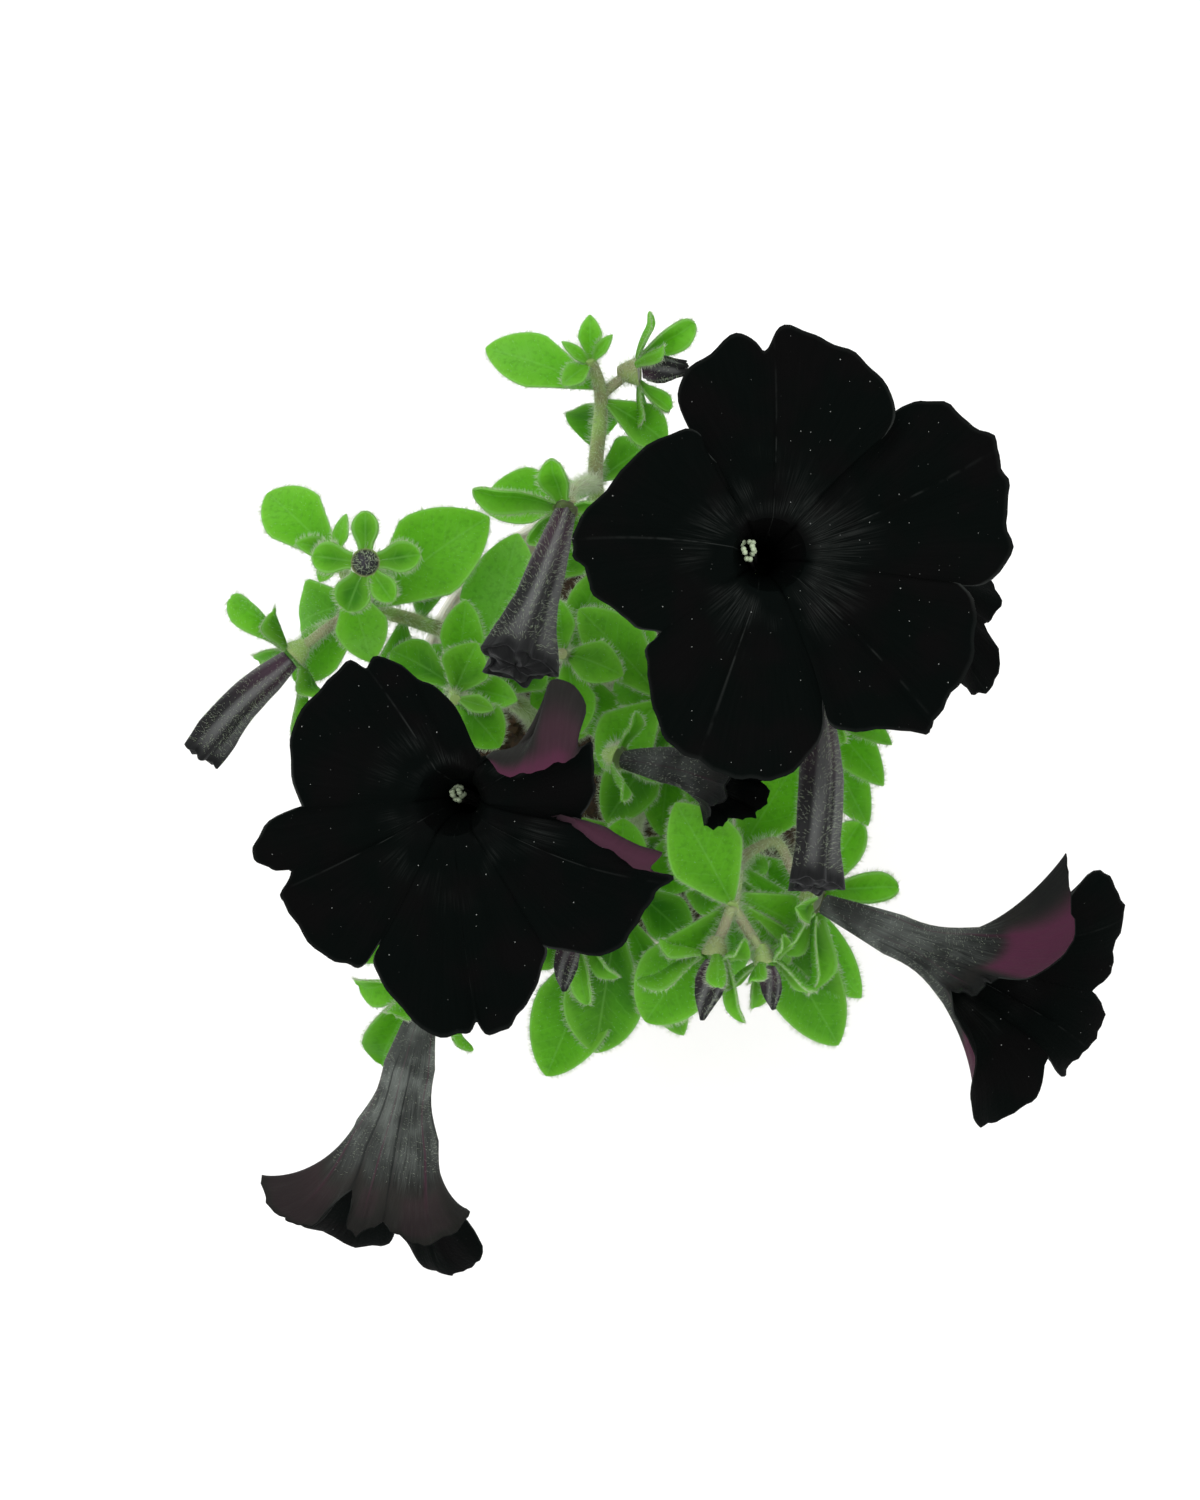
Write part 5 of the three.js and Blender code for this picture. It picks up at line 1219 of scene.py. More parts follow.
BLOOMS = (
    Bloom(
        "bloom_upper_right",
        base=(19.1, 15.4, 135), throat=(21.4, 10.9, 172), axis=(0.06, -0.16, 0.985), right=(1, 0, 0),
        radii=(1.9, 2.9, 6.4), flare=0.2, dip=3, threads=6, laps=(-2.5, 3, 3, -2, 2), lean=(-3.6, 1.2),
        limb=lobes(
            [(215, 23), (206, 26), (199, 28), (191, 31, -1), (184, 31.5, -1), (179, 33.5, -2),
             (172, 33, -2), (159, 30, -1), (144, 28), (129, 26, 1), (124, 23, 1)],
            [(122, 18), (120.5, 24, -1), (119.5, 30, -2), (115, 33.5, -2), (107, 35.5, -1), (99, 37.5),
             (94, 35.5), (91, 34.5, 0.5), (88, 38), (82, 38.5, -1), (75, 37, -2), (67, 37, -2),
             (60, 35.5, -1), (53, 33), (49.5, 29, 1)],
            [(47.5, 25), (46, 31, -1), (45, 35.5, -2), (41, 39, -2), (34, 40.5, -3), (28, 43, -3),
             (22, 42.5, -3), (16, 42, -2), (8, 40.5, -1), (1, 40.5), (-6, 36.5)],
            [(-9.5, 30.5), (-13, 34), (-19, 36.5, -1), (-28, 38.5, -2), (-37, 39, -3), (-45, 39.5, -4),
             (-48, 40.5, -4), (-53, 37, -3), (-63, 33, -2), (-69, 30.5)],
            [(-71, 26), (-76, 31.5, -1), (-83, 36, -2), (-90, 38, -3), (-97, 38, -3), (-105, 37.5, -3),
             (-113, 36.5, -2), (-121, 35.5, -2), (-129, 31.5, -1), (-136, 28.5), (-141, 26)],
        ),
    ),
    Bloom(
        "bloom_lower_left",
        base=(-22.8, -27.3, 122.4), throat=(-32.6, -27.9, 152), axis=(-0.16, -0.3, 0.94), right=(1, 0, 0),
        radii=(1.9, 2.9, 6.2), flare=0.2, dip=3, threads=6, laps=(1.5, -1.5, 0, 1, 1.5), lean=(-2.2, 1.8),
        anthers_at=0.7,
        patches=(
            Patch(2, -0.45, 0.75, 1.84, 2.3), Patch(2, -0.05, 0.3, 1.7, 2.3, strength=0.5),
            Patch(3, -0.6, 0.6, 1.6, 2.2, strength=0.75)),
        limb=lobes(
            [(244, 27), (241, 32), (238, 33.5), (232, 35, -1), (222, 35.5, -2), (213, 34.5, -2),
             (208, 33.5, -1), (204, 30), (201, 33, 1), (197, 35, 2), (193, 34.5, 2), (188, 31.5, 1)],
            [(182, 25.5), (172, 27), (163, 29, -1), (155, 30, -2), (143, 30, -2), (134, 29.5, -1),
             (125, 29.5), (121, 27), (117, 28), (110, 26), (103, 22, 1), (94, 20, 1), (84, 16.5, 1),
             (70, 12, 0.5)],
            [(52, 10), (47, 10.8, 2, (49, 12, 1)), (34, 11.5, 5, (41, 15.5, 3)),
             (26, 13.5, 6.5, (39.5, 20.5, 4)), (24, 16.5, 7, (45, 25, 5)), (23, 19.5, 7, (49, 29, 5)),
             (22, 22.5, 7, (43, 30.5, 4.5)), (22, 25, 6, (34, 29.5, 4)), (25, 27.6, 3), (17, 26.6, 2),
             (9, 26, 1), (2, 24.5)],
            [(-5, 23), (-12, 26, 4, (-6.5, 26.5, 2)), (-14, 29, 4.5, (-8, 30, 2.5)),
             (-15.5, 32.5, 4.5, (-10, 34, 3)), (-16.5, 36, 4, (-11.5, 38, 2.5)), (-16, 40.5, 1.5),
             (-22, 39), (-30, 38, -1), (-37, 38.5, -2), (-44, 36.5, -1), (-51, 31)],
            [(-56, 29), (-59, 31), (-63, 33.5, -1), (-68, 36.5, -2), (-73, 39, -3), (-77, 40.5, -3),
             (-82, 41, -3), (-83.5, 38, -2), (-86, 40.5, -3), (-90, 41, -3), (-96, 40.5, -2),
             (-103, 37, -1), (-110, 33), (-114, 30.5)],
        ),
    ),
    Bloom(
        "bloom_front",
        base=(-38.2, -56.3, 111.1), throat=(-44.4, -80.6, 98.3), axis=(-0.192, -0.847, -0.497),
        right=(0.979, -0.201, -0.035), radii=(2.2, 4.4, 7.4), flare=0.5, dip=0, threads=3,
        patches=(
            Patch(2, 0.1, 0.7, 1.35, 1.9, strength=0.15), Patch(1, 0, 0.6, 1.3, 1.7, strength=0.12),
            Patch(0, 0.1, 0.6, 1.35, 1.85, strength=0.15)),
        limb=lobes(
            [(-11, 13, 12), (5, 16, 11.5), (25, 16, 12.5), (48, 15.5, 13.5), (62, 13.5, 14),
             (74, 12.5, 13)],
            [(83, 11, 11.5), (92, 13.5, 12.5), (102, 14, 13.5), (112, 13.5, 13)],
            [(122, 10, 8), (133, 13, 12.5), (144, 14, 16), (157, 16, 18), (168, 18, 18.5), (178, 21, 17),
             (187, 22.5, 14), (197, 21, 18)],
            [(205, 18, 21), (215, 19, 25), (228, 20, 28.5), (241, 20, 31), (255, 18.5, 32), (268, 18, 31),
             (278, 16.5, 29)],
            [(286, 14, 25), (293, 17.5, 29), (301, 19.5, 33), (309, 20, 33), (318, 20, 31),
             (327, 21, 28.5), (336, 21.5, 25), (342, 20, 20)],
        ),
    ),
    Bloom(
        "bloom_right",
        base=(32.5, -41.8, 124.3), throat=(56, -53.6, 130.6), axis=(0.851, -0.453, 0.268),
        right=(0.425, 0.891, 0.157), radii=(2, 3.6, 7), flare=0.4, dip=0, threads=3, shade=0.35,
        patches=(
            Patch(0, 0.35, 0.6, 1.25, 2.3), Patch(2, -0.3, 0.7, 1.35, 2.2)),
        limb=lobes(
            [(-12, 17, 11), (-5, 23, 9.5), (2, 25.5, 8.5), (12, 22, 12), (26, 18.5, 16.5),
             (42, 16.5, 18.5), (60, 15.2, 18), (77, 14, 15)],
            [(90, 10.5, 8.5), (98, 12.5, 8.5), (109, 12, 6)],
            [(121, 9, 2.5), (132, 11.5, 5), (144, 12.5, 7.5), (155, 15, 10.5), (166, 18.5, 12),
             (177, 22, 13.5), (186, 24, 15), (198, 23, 16), (211, 21.5, 17.5), (224, 19.5, 18.5)],
            [(236, 14.5, 18), (243, 23, 19.5), (251, 25, 20), (261, 24.5, 21), (272, 23.5, 21.5),
             (282, 22, 20.5)],
            [(290, 18, 19), (298, 21.5, 20), (306, 23.5, 19.5), (314, 26, 18.5), (322, 27.5, 17.5),
             (331, 28.3, 14.5), (339, 27, 12.5)],
        ),
    ),
    Bloom(
        "bloom_half_open",
        base=(-2.8, -16.8, 129.6), throat=(12, -21.6, 142), axis=(0.83, -0.3, 0.47),
        right=(0.34, 0.94, 0), radii=(1.8, 3, 5.2), flare=0.5, dip=0, threads=3, shade=0.6,
        limb=lobes(
            [(0, 8, 6), (20, 12, 9), (40, 11, 9), (58, 10, 9)],
            [(72, 8, 7), (90, 10, 9.5), (108, 10, 9.5), (126, 9, 8)],
            [(144, 8, 5), (160, 9, 4), (180, 9, 3), (200, 8.5, 3.5)],
            [(216, 7.2, 4), (234, 8, 6), (252, 8.5, 7), (270, 9, 7.5)],
            [(288, 8, 6), (306, 10, 8), (324, 11, 9), (342, 11, 8)],
        ),
    ),
    Bloom(
        "bloom_behind",
        base=(34.3, 8.6, 124.7), throat=(46.5, 14, 147), axis=(0.66, 0.24, 0.71), right=(0, 1, 0),
        radii=(1.9, 2.9, 6), flare=0.25, dip=1, threads=3,
        limb=lobes(
            [(18, 16), (10, 20, -1), (-4, 21, -2), (-18, 21, -2), (-32, 20, -2), (-44, 19, -1)],
            [(-54, 15, -1), (-64, 18, -1), (-76, 19.5, -1), (-88, 20), (-102, 20.5, 1), (-114, 19, 1)],
            [(-124, 17, 2), (-136, 22, 2), (-150, 25, 2), (-162, 25, 2), (-176, 23, 3)],
            [(-188, 18, 3), (-200, 22, 2), (-214, 23, 1), (-228, 23, 1), (-242, 22, 2)],
            [(-254, 18, 3), (-266, 22, 1), (-282, 24), (-298, 25), (-314, 25, 2), (-330, 22, 2)],
        ),
    ),
)

BUDS = (
    Bud("long_bud_centre", ((-13.4, 24, 145.6), (-17.5, 9, 154), (-21.5, -5, 159)),
        (1.7, 2.4, 3, 3.4, 4.6, 6), 1.4),
    Bud("long_bud_left", ((-63.1, 3.7, 117.9), (-72, -4, 116), (-79, -12, 112)),
        (1.8, 2.6, 3, 3.2, 3.6, 3.2), 1.2),
    Bud("long_bud_right", ((31.4, -8.2, 137.9), (30.5, -26, 148), (29.3, -42, 151)),
        (1.8, 2.8, 3.6, 3.7, 3.5, 4.2), 1),
    Bud("small_bud_back", ((1, 56, 121.7), (4, 56, 123), (7.4, 56, 123.5)),
        (1.6, 2.2, 2.3, 1.9, 1.1), 1.5, twist=0.9),
    Bud("small_bud_front_right", ((12.8, -52.3, 127.6), (11.8, -57, 126.5), (10.8, -62, 123.6)),
        (1.5, 2.3, 2.6, 2.2, 1.3, 0.35), 0.4, twist=1.2),
    Bud("small_bud_front_far_right", ((22.2, -53.2, 125.1), (23, -57, 123.6), (23.4, -60, 121.6)),
        (1.3, 1.8, 1.7, 1.1, 0.3), 0.3, twist=1.2),
    Bud("small_bud_front", ((-12.7, -47.9, 121.2), (-13.4, -52.5, 121.2), (-13.6, -56.4, 119.5)),
        (1.3, 2, 2, 1.4, 0.35), 0.4, twist=1.2),
)


# Pot and soil


@dataclass(frozen=True)
class NurseryPot:
    """The plain round pot: a tapered wall with a deep rim band, a foot and drain holes."""

    def outer(self, z: float) -> float:
        """Give the radius of the outer wall at a height under the rim."""
        return FOOT_RADIUS + (RIM_RADIUS - POT_WALL - FOOT_RADIUS) * z / (POT_HEIGHT - RIM_DEPTH)

    def inner(self, z: float) -> float:
        """Give the radius of the inner wall at a height under the rim."""
        return self.outer(z) - POT_WALL

    def profile(self) -> list[tuple[float, float]]:
        """List the radius and height of each ring: up the outside, over the rim and down inside."""
        foot, neck, rim, top = FOOT_RADIUS, POT_HEIGHT - RIM_DEPTH, RIM_RADIUS, POT_HEIGHT
        outside = [(0.05, 0.6), (foot - 4, 0.6), (foot - 3.2, 0), (foot - 0.6, 0), (foot, 0.6)]
        outside += [(self.outer(z), z) for z in (6, 30, 60)]
        outside += [(self.outer(neck) - 0.1, neck - 0.6), (self.outer(neck) + 0.4, neck)]
        band = [(rim - 0.5, neck), (rim - 0.15, neck + 0.4), (rim - 0.2, top - 2.2), (rim, top - 1.6)]
        band += [(rim, top - 0.6), (rim - 0.5, top)]
        band += [(rim - POT_WALL + 0.4, top), (rim - POT_WALL, top - 0.5)]
        inside = [(rim - POT_WALL, neck + POT_WALL + 0.5), (self.inner(neck), neck - 0.3)]
        inside += [(self.inner(z), z) for z in (20, POT_FLOOR)]
        return outside + band + inside + [(0.05, POT_FLOOR)]

    def build(self, dress: "Wardrobe") -> None:
        """Make the pot with its rounded edges and cut the drain holes."""
        angles = np.arange(POT_SIDES) * TURN / POT_SIDES
        rings = np.array([[(r * math.cos(a), r * math.sin(a), z) for a in angles]
                          for r, z in self.profile()])
        quads = grid_quads(len(rings) + 1, POT_SIDES, True) % (len(rings) * POT_SIDES)
        mesh = PieceMesh()
        mesh.add(rings.reshape(-1, 3), quads, Where.FACE)
        pot = mesh.made("nursery_pot", [dress.plastic], sharp=35)
        cutters = PieceMesh()
        for hole in range(DRAIN_HOLES):
            angle = TURN * hole / DRAIN_HOLES
            x, y = DRAIN_CIRCLE * math.cos(angle), DRAIN_CIRCLE * math.sin(angle)
            add_stalk(cutters, ((x, y, -2), (x, y, 6)), (DRAIN_RADIUS, DRAIN_RADIUS), Where.FACE, sides=32)
        tool = cutters.made("drain_hole_cutters", [dress.plastic])
        cut = pot.modifiers.new("drain holes", "BOOLEAN")
        cut.operation, cut.object, cut.solver = "DIFFERENCE", tool, "EXACT"
        baked = bpy.data.meshes.new_from_object(pot.evaluated_get(bpy.context.evaluated_depsgraph_get()))
        pot.modifiers.clear()
        pot.data = baked
        bpy.data.objects.remove(tool)
        fitted(pot, "pot")


@dataclass(frozen=True)
class PottingSoil:
    """The moist potting mix: an uneven top with crumbs, bark bits and a few pale grains on it."""

    crumbs: int = 900
    grains: int = 60
    crumb_size: tuple[float, float] = (0.5, 1.7)
    grain_size: tuple[float, float] = (0.6, 1.1)
    edge_drop: float = 3.0
    seed: int = 77

    def height(self, x: np.ndarray, y: np.ndarray) -> np.ndarray:
        """Give the height of the uneven top at places on it."""
        crown = SOIL_TOP + SOIL_CROWN * (1 - smooth(*CROWN_FALL, np.hypot(x, y)))
        # Swells that cross at odd angles leave no pattern to see
        rough = np.sin(x * 0.7 + 1) * np.cos(y * 0.9) + 0.6 * np.sin(x * 1.9 + y * 1.3)
        rough = rough + 0.4 * np.sin(y * 2.7 - x)
        return crown + 0.35 * rough - 0.4

    def build(self, dress: "Wardrobe") -> None:
        """Make the plug of soil with everything that lies on it."""
        random = np.random.default_rng(self.seed)
        pot = NurseryPot()
        edge = pot.inner(SOIL_TOP - self.edge_drop) - SOIL_CLEARANCE
        foot = pot.inner(POT_FLOOR) - SOIL_CLEARANCE
        angles = np.arange(SOIL_SIDES) * TURN / SOIL_SIDES
        radii = column(np.append(np.linspace(0.05, edge - 0.6, SOIL_ROWS), edge))
        x, y = radii * np.cos(angles), radii * np.sin(angles)
        z = self.height(x, y)
        z[-1] = SOIL_TOP - self.edge_drop
        top = np.stack([x, y, z], axis=-1)
        base = np.full(SOIL_SIDES, POT_FLOOR + SOIL_CLEARANCE)
        low = np.stack([foot * np.cos(angles), foot * np.sin(angles), base], axis=-1)
        wall = np.concatenate([top, low[None], (low * (0.002, 0.002, 1))[None]])
        mesh = PieceMesh()
        mesh.add(wall.reshape(-1, 3), grid_quads(len(wall), SOIL_SIDES, True), Where.FACE, {"shade": 0.35})
        corners = np.array([(1, 0, 0), (-1, 0, 0), (0, 1, 0), (0, -1, 0), (0, 0, 1), (0, 0, -1)], float)
        upper = np.array([(0, 2, 4, 4), (2, 1, 4, 4), (1, 3, 4, 4), (3, 0, 4, 4)])
        lower = np.array([(2, 0, 5, 5), (1, 2, 5, 5), (3, 1, 5, 5), (0, 3, 5, 5)])
        faces = np.concatenate([upper, lower])
        for index in range(self.crumbs + self.grains):
            grain = index >= self.crumbs
            r, a = (edge - 1.8) * math.sqrt(random.random()), random.uniform(0, ANY_TURN)
            size = random.uniform(*(self.grain_size if grain else self.crumb_size))
            shape = corners * random.uniform(0.6, 1.1, (6, 1)) * size * (1, random.uniform(0.5, 1), 0.6)
            spin = random.uniform(0, ANY_TURN)
            c, s = math.cos(spin), math.sin(spin)
            shape = shape @ np.array([(c, s, 0), (-s, c, 0), (0, 0, 1)])
            x, y = r * math.cos(a), r * math.sin(a)
            at = (x, y, self.height(x, y) + size * 0.2)
            mesh.add(shape + at, faces, Where.BACK if grain else Where.FACE, {"shade": random.uniform()})
        fitted(mesh.made("potting_mix", [dress.peat, dress.perlite], sharp=60), "soil")


# Finishes


def linear(colour: str) -> tuple[float, float, float, float]:
    """Turn an sRGB hex colour into linear red, green, blue and alpha."""
    parts = [int(colour[i:i + 2], 16) / 255 for i in (1, 3, 5)]
    r, g, b = (p / 12.92 if p <= 0.04045 else ((p + 0.055) / 1.055) ** 2.4 for p in parts)
    return (r, g, b, 1.0)


def every(size: float) -> float:
    """Give the texture scale of a pattern whose blobs are so many millimetres across."""
    return 1 / (size * MM)


class Step(Enum):
    """The steps of a material: a node's type, its settings and the inputs that its values go to."""

    PLUS = ("Math", {"operation": "ADD"}, (0, 1))
    MINUS = ("Math", {"operation": "SUBTRACT"}, (0, 1))
    TIMES = ("Math", {"operation": "MULTIPLY"}, (0, 1))
    OVER = ("Math", {"operation": "DIVIDE"}, (0, 1))
    LARGER = ("Math", {"operation": "MAXIMUM"}, (0, 1))
    UNDER = ("Math", {"operation": "LESS_THAN"}, (0, 1))
    ABSOLUTE = ("Math", {"operation": "ABSOLUTE"}, (0,))
    SINE = ("Math", {"operation": "SINE"}, (0,))
    COSINE = ("Math", {"operation": "COSINE"}, (0,))
    RAMP = ("MapRange", {"interpolation_type": "SMOOTHSTEP"}, (0, 1, 2, 3, 4))
    MIX = ("Mix", {"data_type": "RGBA"}, (0, 6, 7))
    JOIN = ("CombineXYZ", {}, (0, 1, 2))
    SPLIT = ("SeparateColor", {}, (0,))
    NOISE = ("TexNoise", {}, ("Vector", "Scale", "Detail", "Roughness"))
    CELLS = ("TexVoronoi", {}, ("Vector", "Scale"))
    SPECKS = ("TexVoronoi", {"voronoi_dimensions": "2D"}, ("Vector", "Scale"))
    BUMP = ("Bump", {}, ("Height", "Distance", "Strength"))
    PLACE = ("TexCoord", {}, ())
    FIELD = ("Attribute", {}, ())
    SOLID = ("BsdfPrincipled", {}, ())
    THROUGH = ("BsdfTranslucent", {}, ())
    BLEND = ("MixShader", {}, (0, 1, 2))
    OUTPUT = ("OutputMaterial", {}, (0,))


class Recipe:
    """A material's node tree, written step by step."""

    def __init__(self, name: str) -> None:
        """Start a new material with an empty tree."""
        self.material = bpy.data.materials.new(name)
        self.material.use_nodes = True
        self.tree = self.material.node_tree
        self.tree.nodes.clear()
        self.place = self.add(Step.PLACE).outputs["Object"]

    def add(self, step: Step, *values: object, **named: object) -> bpy.types.Node:
        """Add one node with its settings and links.

        Args:
            step: which node.
            values: a number, a colour, a node or a socket for each of the step's inputs, in order.
            named: the same for inputs by name, with _ for a space.

        Returns:
            The new node.
        """
        kind, settings, inputs = step.value
        made = self.tree.nodes.new("ShaderNode" + kind)
        for key, value in settings.items():
            setattr(made, key, value)
        given = dict(zip(inputs, values)) | {key.replace("_", " "): value for key, value in named.items()}
        for key, value in given.items():
            if isinstance(value, bpy.types.Node):
                value = value.outputs[2] if value.bl_idname == "ShaderNodeMix" else value.outputs[0]
            if isinstance(value, bpy.types.NodeSocket):
                self.tree.links.new(value, made.inputs[key])
            else:
                made.inputs[key].default_value = linear(value) if isinstance(value, str) else value
        return made

    def field(self, name: str) -> bpy.types.NodeSocket:
        """Read one of the mesh's surface values."""
        made = self.add(Step.FIELD)
        made.attribute_name = name
        return made.outputs["Fac"]

    def fibres(self, across: float, along: float, detail: float) -> bpy.types.Node:
        """Make the grain of a petal, which runs from its throat to its edge.

        Args:
            across: blobs to half the width of a lobe.
            along: blobs from the throat to the edge.
            detail: how fine it is.

        Returns:
            The pattern.
        """
        petal = self.add(Step.TIMES, self.field("petal"), 3.1)
        lobe = self.add(Step.PLUS, self.field("lobe"), petal)
        reach = self.add(Step.TIMES, self.field("reach"), along)
        place = self.add(Step.JOIN, self.add(Step.TIMES, lobe, across), reach)
        return self.add(Step.NOISE, place, 1.0, detail, 0.7)

    def surface(self, colour: object, pattern: object, rough: tuple[float, float], depth: float,
                strength: float, relief: object = None, **settings: object) -> bpy.types.Node:
        """Make a surface whose roughness and relief follow a pattern.

        Args:
            colour: its colour.
            pattern: the pattern, from 0 to 1.
            rough: its roughness where the pattern is low and where it is high.
            depth: how far the relief stands out, in millimetres.
            strength: how strongly the relief shows.
            relief: what the relief follows, where that isn't the pattern.
            settings: the shader's other inputs, with _ for a space.

        Returns:
            The shader.
        """
        normal = self.add(Step.BUMP, relief or pattern, depth * MM, strength)
        roughness = self.add(Step.RAMP, pattern, 0.3, 0.7, *rough)
        return self.add(Step.SOLID, Base_Color=colour, Roughness=roughness, Normal=normal, **settings)

    def finish(self, shader: bpy.types.Node) -> bpy.types.Material:
        """Close the tree with its output."""
        self.add(Step.OUTPUT, shader)
        return self.material


@dataclass(frozen=True)
class LeafBlade:
    """Thin fleshy leaf: light comes through it, its veins are sunk and its edge is pale and downy.

    Colours are sRGB, and the sizes of the patterns are millimetres. The leaf's own cells are too fine to
    show, so they are drawn about half a millimetre across.
    """

    fresh: str = "#6fc021"
    deep: str = "#1c5f0a"
    rim: str = "#b0da90"
    rib: str = "#8fd061"
    through_and_painted_glow: str = "#93d848"
    pale_tone_and_lit: str = "#9ccf74"
    vein_spacing: float = 2.7
    vein_wander: float = 2.0
    blotch_size: float = 6.25
    mottle_size: float = 0.90909
    cell_size: float = 0.625

    def veins(self, r: Recipe, along: object, aside: object, to_edge: object) -> bpy.types.Node:
        """Draw the midrib and the side veins that arch away from it.

        Args:
            r: the material.
            along: the distance from the leaf's base.
            aside: the distance from its midrib.
            to_edge: the distance from its edge.

        Returns:
            How much of a vein there is at each place.
        """
        add = r.add
        arc = add(Step.MINUS, along, add(Step.TIMES, aside, 0.85))
        wander = add(Step.TIMES, add(Step.NOISE, r.place, every(self.vein_wander), 1.0, 0.5), 1.2)
        wave = add(Step.COSINE, add(Step.TIMES, add(Step.PLUS, arc, wander), TURN / self.vein_spacing))
        side = add(Step.TIMES, add(Step.RAMP, wave, 0.86, 1), add(Step.RAMP, to_edge, 0.3, 1.6))
        midrib = add(Step.RAMP, aside, 0.34, 0.06)
        return add(Step.LARGER, add(Step.TIMES, side, 0.13), add(Step.TIMES, midrib, 0.3))

    def material(self) -> bpy.types.Material:
        """Make the leaf material."""
        r = Recipe("petunia leaf, downy")
        add = r.add
        along, across, half = r.field("along"), r.field("across"), r.field("half")
        aside = add(Step.ABSOLUTE, across)
        to_edge = add(Step.MINUS, half, aside)
        blotch = add(Step.NOISE, r.place, every(self.blotch_size), 3.0)
        mottle = add(Step.NOISE, r.place, every(self.mottle_size), 4, 0.65)
        # Painted shade: each leaf is darker towards its base, deep in the clump, and lighter towards its
        # tip; its tone also holds the painted light of the upper leaves
        out = add(Step.RAMP, add(Step.OVER, along, add(Step.PLUS, half, 2.0)), 0.2, 2.2, -0.2, 0.15)
        tone = add(Step.PLUS, add(Step.TIMES, r.field("tone"), 0.7), out)
        tone = add(Step.PLUS, tone, add(Step.TIMES, blotch, 0.45))
        veins = self.veins(r, along, aside, to_edge)
        colour = add(Step.MIX, add(Step.RAMP, tone, 0.15, 0.95), self.deep, self.fresh)
        # A high tone turns the leaf paler: partly random tone, and partly painted light on the upper leaves
        # and tips
        colour = add(Step.MIX, add(Step.RAMP, tone, 0.8, 1.25, 0.0, 0.5), colour, self.pale_tone_and_lit)
        colour = add(Step.MIX, add(Step.RAMP, mottle, 0.55, 0.3, 0.0, 0.35), colour, self.deep)
        # Painted light: a glow towards the edge, as if the leaf were lit from behind
        colour = add(Step.MIX, add(Step.RAMP, to_edge, 2.4, 0.3, 0.0, 0.4), colour, self.through_and_painted_glow)
        colour = add(Step.MIX, veins, colour, self.rib)
        colour = add(Step.MIX, add(Step.TIMES, add(Step.RAMP, to_edge, 0.5, 0.1), 0.4), colour, self.rim)
        cells = add(Step.CELLS, r.place, every(self.cell_size))
        height = add(Step.MINUS, add(Step.TIMES, cells, 0.35), veins)
        leaf = r.surface(colour, blotch, (0.5, 0.62), 0.16, 0.7, height, IOR=1.42, Specular_IOR_Level=0.3,
                         Sheen_Weight=0.06, Sheen_Roughness=0.4, Sheen_Tint="#e6f4d8")
        normal = leaf.inputs["Normal"].links[0].from_socket
        # The light that comes through the leaf takes a green mixed with the same glow
        through = add(Step.THROUGH, Color=add(Step.MIX, 0.55, colour, self.through_and_painted_glow), Normal=normal)
        return r.finish(add(Step.BLEND, 0.5, leaf, through))


@dataclass(frozen=True)
class HairyStem:
    """Soft green stem, olive brown where it is older, under a grey down."""

    green: str = "#86ac52"
    brown: str = "#7b7a56"
    pale: str = "#a3b97c"
    stalk: str = "#8a8070"
    heart: str = "#24222a"
    patch_size: float = 8.3333

    def material(self) -> bpy.types.Material:
        """Make the stem material."""
        r = Recipe("petunia stem, hairy")
        add = r.add
        around, along = add(Step.TIMES, r.field("around"), 2.0), add(Step.TIMES, r.field("along"), 0.25)
        streak = add(Step.NOISE, add(Step.JOIN, around, along), 0.9, 3)
        patch = add(Step.NOISE, r.place, every(self.patch_size), 2)
        colour = add(Step.MIX, add(Step.RAMP, patch, 0.35, 0.65), self.brown, self.green)
        colour = add(Step.MIX, add(Step.TIMES, streak, 0.4), colour, self.pale)
        colour = add(Step.MIX, add(Step.TIMES, r.field("stalk"), 0.5), colour, self.stalk)
        colour = add(Step.MIX, r.field("heart"), colour, self.heart)
        return r.finish(r.surface(colour, streak, (0.5, 0.7), 0.12, 0.6, IOR=1.42,
                                  Sheen_Weight=0.4, Sheen_Roughness=0.35, Sheen_Tint="#eef2e4"))


